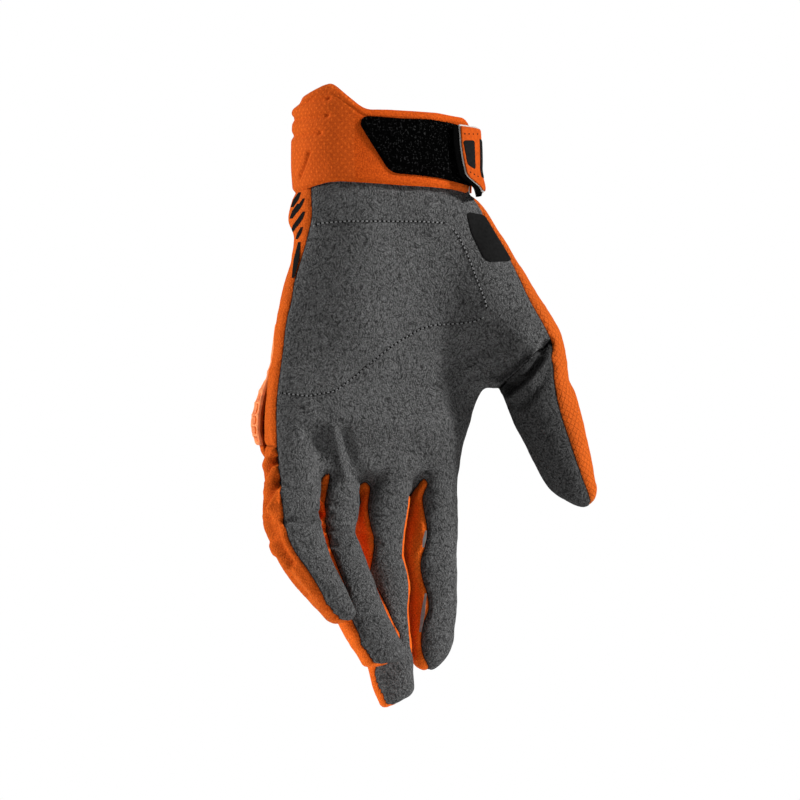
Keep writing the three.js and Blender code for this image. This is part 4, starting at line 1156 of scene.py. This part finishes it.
def mesh_material(name, dark, light, pitch, style="dots", strength=0.3, depth=0.0002, seam_shade=0.6):
    """Knitted fabric: fine felted grain under dots or thin lines on a slanted grid, darkened beside its
    seams by seam_shade as painted shade.
    """
    material, tree, shader = socket_material(name, 0.8, 0.04, 0.25)
    weave = add(tree, "ShaderNodeAttribute", {"attribute_name": "weave"}).outputs["Vector"]
    slanted = add(tree, "ShaderNodeMapping", Vector=weave, Rotation=(0, 0, math.radians(45)),
                  Scale=(1 / pitch, 1 / pitch, 1)).outputs["Vector"]
    settings = {"feature": PATTERNS[style]["feature"], "voronoi_dimensions": "2D"}
    cells = add(tree, "ShaderNodeTexVoronoi", settings, Vector=slanted, Scale=1.0, Randomness=0.0)
    pattern = ramp(tree, cells.outputs["Distance"], PATTERNS[style]["stops"])
    place = tree.nodes.new("ShaderNodeTexCoord").outputs["Object"]
    grain = add(tree, "ShaderNodeTexNoise", Vector=place, Scale=1700.0, Detail=3.0, Roughness=0.6)
    mixed = add(tree, "ShaderNodeMath", {"operation": "MULTIPLY_ADD"})
    tree.links.new(pattern, mixed.inputs[0])
    mixed.inputs[1].default_value = strength
    tree.links.new(grain.outputs["Fac"], mixed.inputs[2])
    color = ramp(tree, mixed.outputs["Value"], [(0.35, dark), (0.65 + strength, light)])
    tree.links.new(edge_shade(tree, color, seam_shade), shader.inputs["Base Color"])
    first = bump(tree, shader, pattern, depth, 0.8)
    bump(tree, shader, grain.outputs["Fac"], 0.0005, 0.7, first)
    return material


def plain_material(name, color, roughness, grain=700.0, depth=0.0002, specular=0.2, spread=(0.8, 1.15),
                   places=(0.3, 0.7)):
    """One colour, speckled between two shares of it."""
    material, tree, shader = socket_material(name, roughness, specular)
    place = tree.nodes.new("ShaderNodeTexCoord").outputs["Object"]
    speck = add(tree, "ShaderNodeTexNoise", Vector=place, Scale=grain, Detail=3.0)
    shade = [(spot, tuple(min(1, c * share) for c in color)) for spot, share in zip(places, spread)]
    tree.links.new(ramp(tree, speck.outputs["Fac"], shade), shader.inputs["Base Color"])
    bump(tree, shader, speck.outputs["Fac"], depth, 0.6)
    return material


# Pieces of the hand's skin: what their weave follows, their material and the part's slot.
HAND_PIECES = {
    "palm_panel": ("palm", "suede", "palm_suede"),
    # the thumb's front piece takes a darker copy of the suede, as painted shade
    "thumb_front": ("thumb", "thumb_suede_painted_shade", "palm_suede"),
    "thumb_back": ("thumb", "grid", "back_mesh"),
    "back_panel": ("palm", "mesh", "back_mesh"),
    # the side strips take a lighter copy of the stretch mesh, as painted light in the slits
    "side_strip_index_middle": ("finger", "strip", "back_mesh"),
    "side_strip_middle_ring": ("finger", "strip", "back_mesh"),
    "side_strip_ring_little": ("finger", "strip", "back_mesh"),
    "finger_backs": ("finger", "mesh", "back_mesh"),
}
STRIPS = ("side_strip_index_middle", "side_strip_middle_ring", "side_strip_ring_little")


def build_hand(materials):
    """The hand's skin, cut along its seams into the sewn pieces; gives a search tree of it."""
    points, faces = hand_skin()
    points = wrinkled(points, faces)
    columns = seam_fields(points)
    columns["normal"] = vertex_normals(points, faces)
    skin = Shell(points, faces, columns)
    skin, _ = skin.cut(SKIN_TOP - skin.points[:, 2])
    tree = BVHTree.FromPolygons((skin.points * MM).tolist(), skin.faces.tolist())
    front, rest = skin.cut(skin.columns["front"])
    thumb_front, palm = front.cut(front.columns["thumb_side"])
    thumb_back, rest = rest.cut(rest.columns["thumb_back"])
    back, lower = rest.cut(rest.columns["back"])
    parts = {"palm_panel": palm, "thumb_front": thumb_front, "thumb_back": thumb_back, "back_panel": back}
    for k, name in enumerate(STRIPS):
        parts[name], lower = lower.cut(lower.columns[f"strip{k}"])
    parts["finger_backs"] = lower
    for name, (limb, fabric, slot) in HAND_PIECES.items():
        shell = parts[name]
        shell.columns = {"normal": shell.columns["normal"], "weave": shell.columns["weave_" + limb]}
        piece = panel(name + "_skin", shell, materials[fabric])
        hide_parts(name)
    return tree


TAG_OUTLINE = [(30.2, -37.3), (37.2, -38.5), (47.9, -56.2), (38.7, -56.6), (36.6, -54.6), (32.1, -45.4)]
TAG_GRID = 60


def build_grip_tag(tree, material):
    outline = rounded_outline(TAG_OUTLINE, 1.4)
    low, high = outline.min(0) - 1, outline.max(0) + 1
    lines = [np.linspace(low[k], high[k], TAG_GRID) for k in (0, 1)]
    across, z = [g.reshape(-1) for g in np.meshgrid(*lines, indexing="ij")]
    points, normals = projected(tree, across, z, 0.45)
    faces = facing_camera(points, grid_faces((TAG_GRID, TAG_GRID)))
    shell = Shell(points, faces, {"normal": normals, "weave": weave_of(across, z)})
    shell, _ = shell.cut(inside_outline(across, z, outline))
    piece = panel("grip_tag_flat", shell, material, 0.4, 0.2, 0.4)
    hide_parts("grip_tag")


# How far in from a place that misses the skin one is looked for, in mm.
OUTLINE_STEPS = np.arange(0, 3, 0.3)


def first_hit(tree, camera, across, z):
    """Where the camera sees the skin at a place, or just inside its outline if it misses."""
    for inward in OUTLINE_STEPS:
        target = (across - math.copysign(inward, across)) * RIGHT + np.array([0, 0, z])
        hit, normal, _, _ = tree.ray_cast(Vector(camera * MM), Vector(target - camera).normalized())
        if hit is not None:
            return hit, normal
    return Vector(target * MM), Vector(-LOOK)


def projected(tree, across, z, lift):
    """Points of the skin seen at places of the view plane, lifted off it, with its normals."""
    camera = (VIEW_CENTRE[0] * RIGHT - CAMERA_DISTANCE * LOOK + [0, 0, VIEW_CENTRE[1]])
    points, normals = [], []
    for a, h in zip(across, z):
        hit, normal = first_hit(tree, camera, a, h)
        points.append(np.array(hit) / MM + np.array(normal) * lift)
        normals.append(np.array(normal))
    return np.array(points), np.array(normals)


# Stitch lines on the palm in the view plane, as (across, z).
STITCH_LINES = [
    [(-28.7, -42.7), (-26.0, -41.6), (-15.2, -40.8), (12.5, -40.9), (23.0, -41.6)],
    [(24.8, -43.5), (27.2, -46.6), (29.8, -51.6), (32.1, -57.0), (34.0, -62.4), (36.0, -67.4),
     (37.5, -71.2), (38.3, -75.0)],
    [(37.2, -77.8), (34.0, -79.3), (29.1, -80.1), (17.5, -80.9), (12.5, -82.4), (5.2, -86.6), (0.6, -89.7),
     (-5.2, -94.3), (-12.5, -100.5), (-20.2, -106.3), (-30.6, -108.2), (-41.0, -107.0)],
]
# The dark marks after the stitches are painted shade in their needle holes; their length and radius are the
# last two entries.
STITCH = {"pitch": 1.7, "length": 1.1, "radius": 0.22, "hole_shade": 0.7, "hole_shade_radius": 0.42}


def even_points(line, pitch):
    line = np.array(line)
    runs = np.concatenate([[0], np.cumsum(np.linalg.norm(np.diff(line, axis=0), axis=1))])
    places = np.arange(0, runs[-1], pitch)
    return np.column_stack([np.interp(places, runs, line[:, k]) for k in (0, 1)])


def build_stitches(tree, lines, name, thread, hole_shade):
    """Threads along lines of the view plane, each followed by a dark mark of painted shade at its needle
    hole if that has a material.
    """
    for kind, material, length, radius, from_share in (
        ("", thread, STITCH["length"], STITCH["radius"], 0.0),
        ("_hole_shades", hole_shade, STITCH["hole_shade"], STITCH["hole_shade_radius"], STITCH["length"] / STITCH["pitch"]),
    ):
        if material is None:
            continue
        points, faces = [], []
        for line in lines:
            spots = even_points(line, STITCH["pitch"])
            places, normals = projected(tree, spots[:, 0], spots[:, 1], 0.05)
            for a, b, normal in zip(places[:-1], places[1:], normals):
                stitch(points, faces, a + (b - a) * from_share, b, normal, length, radius)
        piece = mesh_object(name + kind, np.array(points), np.array(faces), {}, material)


# Rings of a thread: share along it, size, rise.
THREAD_RINGS = ((0.0, 0.4, -0.25), (0.2, 0.9, 0.0), (0.5, 1.0, 0.1), (0.8, 0.9, 0.0), (1.0, 0.4, -0.25))
THREAD_SIDES = 6


def stitch(points, faces, a, b, normal, length, radius):
    """A short round thread from a towards b, its ends sunk in the suede."""
    along = (b - a) / np.linalg.norm(b - a)
    side = np.cross(along, normal)
    start = len(points)
    for place, size, rise in THREAD_RINGS:
        centre = a + along * length * place + normal * rise * radius / STITCH["radius"]
        for k in range(THREAD_SIDES):
            turn = 2 * math.pi * k / THREAD_SIDES
            points.append(centre + radius * size * (math.cos(turn) * side + math.sin(turn) * normal))
    for ring in range(len(THREAD_RINGS) - 1):
        for k in range(THREAD_SIDES):
            p = start + ring * THREAD_SIDES + k
            q = start + ring * THREAD_SIDES + (k + 1) % THREAD_SIDES
            faces.append((p, q, q + THREAD_SIDES))
            faces.append((p, q + THREAD_SIDES, p + THREAD_SIDES))
    last = start + (len(THREAD_RINGS) - 1) * THREAD_SIDES
    for base, turned_over in ((start, False), (last, True)):
        for k in range(1, THREAD_SIDES - 1):
            faces.append((base, base + k + turned_over, base + k + (not turned_over)))


# Dashes of the plain print on the little-finger side, in the view plane: across, z, length, width, slant.
PRINT_DASHES = [
    (-35.2, -32.6, 6.4, 2.0, 62), (-33.6, -34.8, 6.0, 1.6, 62), (-35.6, -37.0, 6.4, 2.2, 62),
    (-33.6, -40.0, 6.4, 2.0, 62), (-35.4, -42.4, 5.6, 2.0, 62), (-33.9, -45.4, 5.0, 1.6, 66),
    (-35.1, -55.8, 14.0, 2.0, 80),
]
# Raw rim of the suede along the index seam.
RIM_DASHES = [(14.3, -163.2, 6.6, 1.3, 80), (13.7, -191.6, 15.0, 1.5, 82)]
DASH_GRID = (6, 16)


def build_dashes(tree, dashes, name, material):
    """Flat slanted dashes with pointed ends, laid on the skin where the camera sees them."""
    points, normals, faces = [], [], []
    u, v = np.meshgrid(*[np.linspace(-0.5, 0.5, count) for count in DASH_GRID], indexing="ij")
    for across, z, length, width, slant in dashes:
        c, s = math.cos(math.radians(slant)), math.sin(math.radians(slant))
        x = across + u * width * (1 - np.abs(v)) + v * length * c
        h = z + v * length * s
        places, outward = projected(tree, x.reshape(-1), h.reshape(-1), 0.12)
        faces.append(grid_faces(u.shape) + len(points) * u.size)
        points.append(places)
        normals.append(outward)
    points = np.concatenate(points)
    faces = facing_camera(points, np.concatenate(faces))
    columns = {"normal": np.concatenate(normals), "weave": points}
    piece = panel(name, Shell(points, faces, columns), material, 0.1, 0.0, crisp=True)


# The floor, in metres: half its width, its end behind the glove and its height.
FLOOR = {"size": 1.6, "back": 0.8, "low": -0.42}
# Round lamps, in metres and watts: name, place, size, power.
LAMPS = [
    ("key", (1.3, -0.95, 0.85), 0.35, 57.0),
    ("side", (-1.1, 0.4, 0.5), 0.6, 20.0),
    ("back", (0.5, 1.1, 0.5), 0.8, 8.0),
]
AIM = (0, 0, -0.11)


def build_stage():
    floor = bpy.data.meshes.new("floor")
    size, back, low = FLOOR["size"], FLOOR["back"], FLOOR["low"]
    corners = [(-size, -size, low), (size, -size, low), (size, back, low), (-size, back, low)]
    floor.from_pydata(corners, [], [(0, 1, 2, 3)])
    piece = bpy.data.objects.new("floor", floor)
    bpy.context.scene.collection.objects.link(piece)
    material, _, shader = socket_material("pale_floor", 0.9)
    shader.inputs["Base Color"].default_value = (0.9, 0.9, 0.9, 1)
    floor.materials.append(material)

    world = bpy.data.worlds.new("studio")
    bpy.context.scene.world = world
    world.use_nodes = True
    background = world.node_tree.nodes["Background"]
    background.inputs["Color"].default_value = (1, 1, 1, 1)
    path = world.node_tree.nodes.new("ShaderNodeLightPath")
    strength = add(world.node_tree, "ShaderNodeMapRange", To_Min=0.12, To_Max=1.0)
    world.node_tree.links.new(path.outputs["Is Camera Ray"], strength.inputs["Value"])
    world.node_tree.links.new(strength.outputs["Result"], background.inputs["Strength"])

    for name, place, size, power in LAMPS:
        light = bpy.data.lights.new(name, "AREA")
        light.shape = "DISK"
        light.size = size
        light.energy = power
        lamp = bpy.data.objects.new(name, light)
        lamp.location = place
        aim = Vector(AIM) - Vector(place)
        lamp.rotation_euler = aim.to_track_quat("-Z", "Y").to_euler()
        bpy.context.scene.collection.objects.link(lamp)


def build_camera():
    camera = bpy.data.cameras.new("camera")
    camera.sensor_width = 36.0
    camera.lens = 36.0 * CAMERA_DISTANCE / VIEW_HEIGHT
    piece = bpy.data.objects.new("camera", camera)
    piece.location = (VIEW_CENTRE[0] * RIGHT - CAMERA_DISTANCE * LOOK + [0, 0, VIEW_CENTRE[1]]) * MM
    piece.rotation_euler = (math.pi / 2, 0, -TURN)
    camera.clip_end = 20
    bpy.context.scene.collection.objects.link(piece)
    bpy.context.scene.camera = piece
    bpy.context.scene.view_settings.view_transform = "Standard"


build_camera()
build_stage()
materials = {
    "suede": suede_material("suede", 1.0),
    # the same suede made darker for the thumb's front piece, as painted shade
    "thumb_suede_painted_shade": suede_material("thumb_suede_painted_shade", 0.6),
    "mesh": mesh_material("stretch_mesh", (0.4, 0.055, 0.0036), (0.7, 0.116, 0.012), 1.2, strength=0.12),
    # a lighter copy of the stretch mesh for the side strips, as painted light in the slits
    "strip": mesh_material("strip_mesh_painted_light", (0.52, 0.075, 0.005), (0.86, 0.15, 0.016), 1.2, strength=0.12),
    "grid": mesh_material("grid_mesh", (0.27, 0.04, 0.0033), (0.51, 0.087, 0.009), 1.9, "grid", 0.25),
    "knit": mesh_material("cuff_knit", (0.39, 0.05, 0.004), (0.66, 0.11, 0.011), 2.1,
                          "dots", 0.3, 0.00008, 1.0),
    "plain_knit": mesh_material("cuff_plain_knit", (0.34, 0.038, 0.002), (0.57, 0.082, 0.006), 1.2,
                                "dots", 0.02, 0.00003, 1.0),
    "loop": plain_material("loop_pile", (0.0018, 0.0018, 0.0018), 0.9, 1400.0, 0.0012, 0.0,
                           (0.4, 16.0), (0.57, 0.8)),
    # the strap's black hook side, which past the foam's end is also painted shade under the strap
    "hook_and_shade": plain_material("strap_hook_and_shade", (0.0016, 0.0016, 0.0016), 0.9, 1500.0, 0.0012, 0.0),
    "foam": plain_material("strap_foam", (0.42, 0.4, 0.38), 0.9),
    "face": plain_material("strap_face", (0.37, 0.054, 0.004), 0.7, specular=0.03),
    "print": plain_material("flat_print", (0.009, 0.009, 0.009), 0.6, 900.0, 0.0001, 0.0),
    "guard": plain_material("guard_rubber", (0.84, 0.26, 0.095), 0.6, 500.0, 0.0001, 0.1),
    "rim": plain_material("suede_rim", (0.22, 0.22, 0.22), 0.9),
    "thread": plain_material("thread", (0.22, 0.22, 0.22), 0.8),
}
skin_tree = build_hand(materials)
build_grip_tag(skin_tree, materials["print"])
build_dashes(skin_tree, PRINT_DASHES, "side_print_flat", materials["print"])
build_dashes(skin_tree, RIM_DASHES, "suede_rim", materials["rim"])
# the black print after each thread is painted shade in the needle holes
build_stitches(skin_tree, STITCH_LINES, "palm_stitches", materials["thread"],
               materials["print"])
build_cuff(materials)
build_loop_patch(materials["loop"])
build_strap(materials)
build_guard(materials["guard"], materials["mesh"])

bpy.context.view_layer.update()
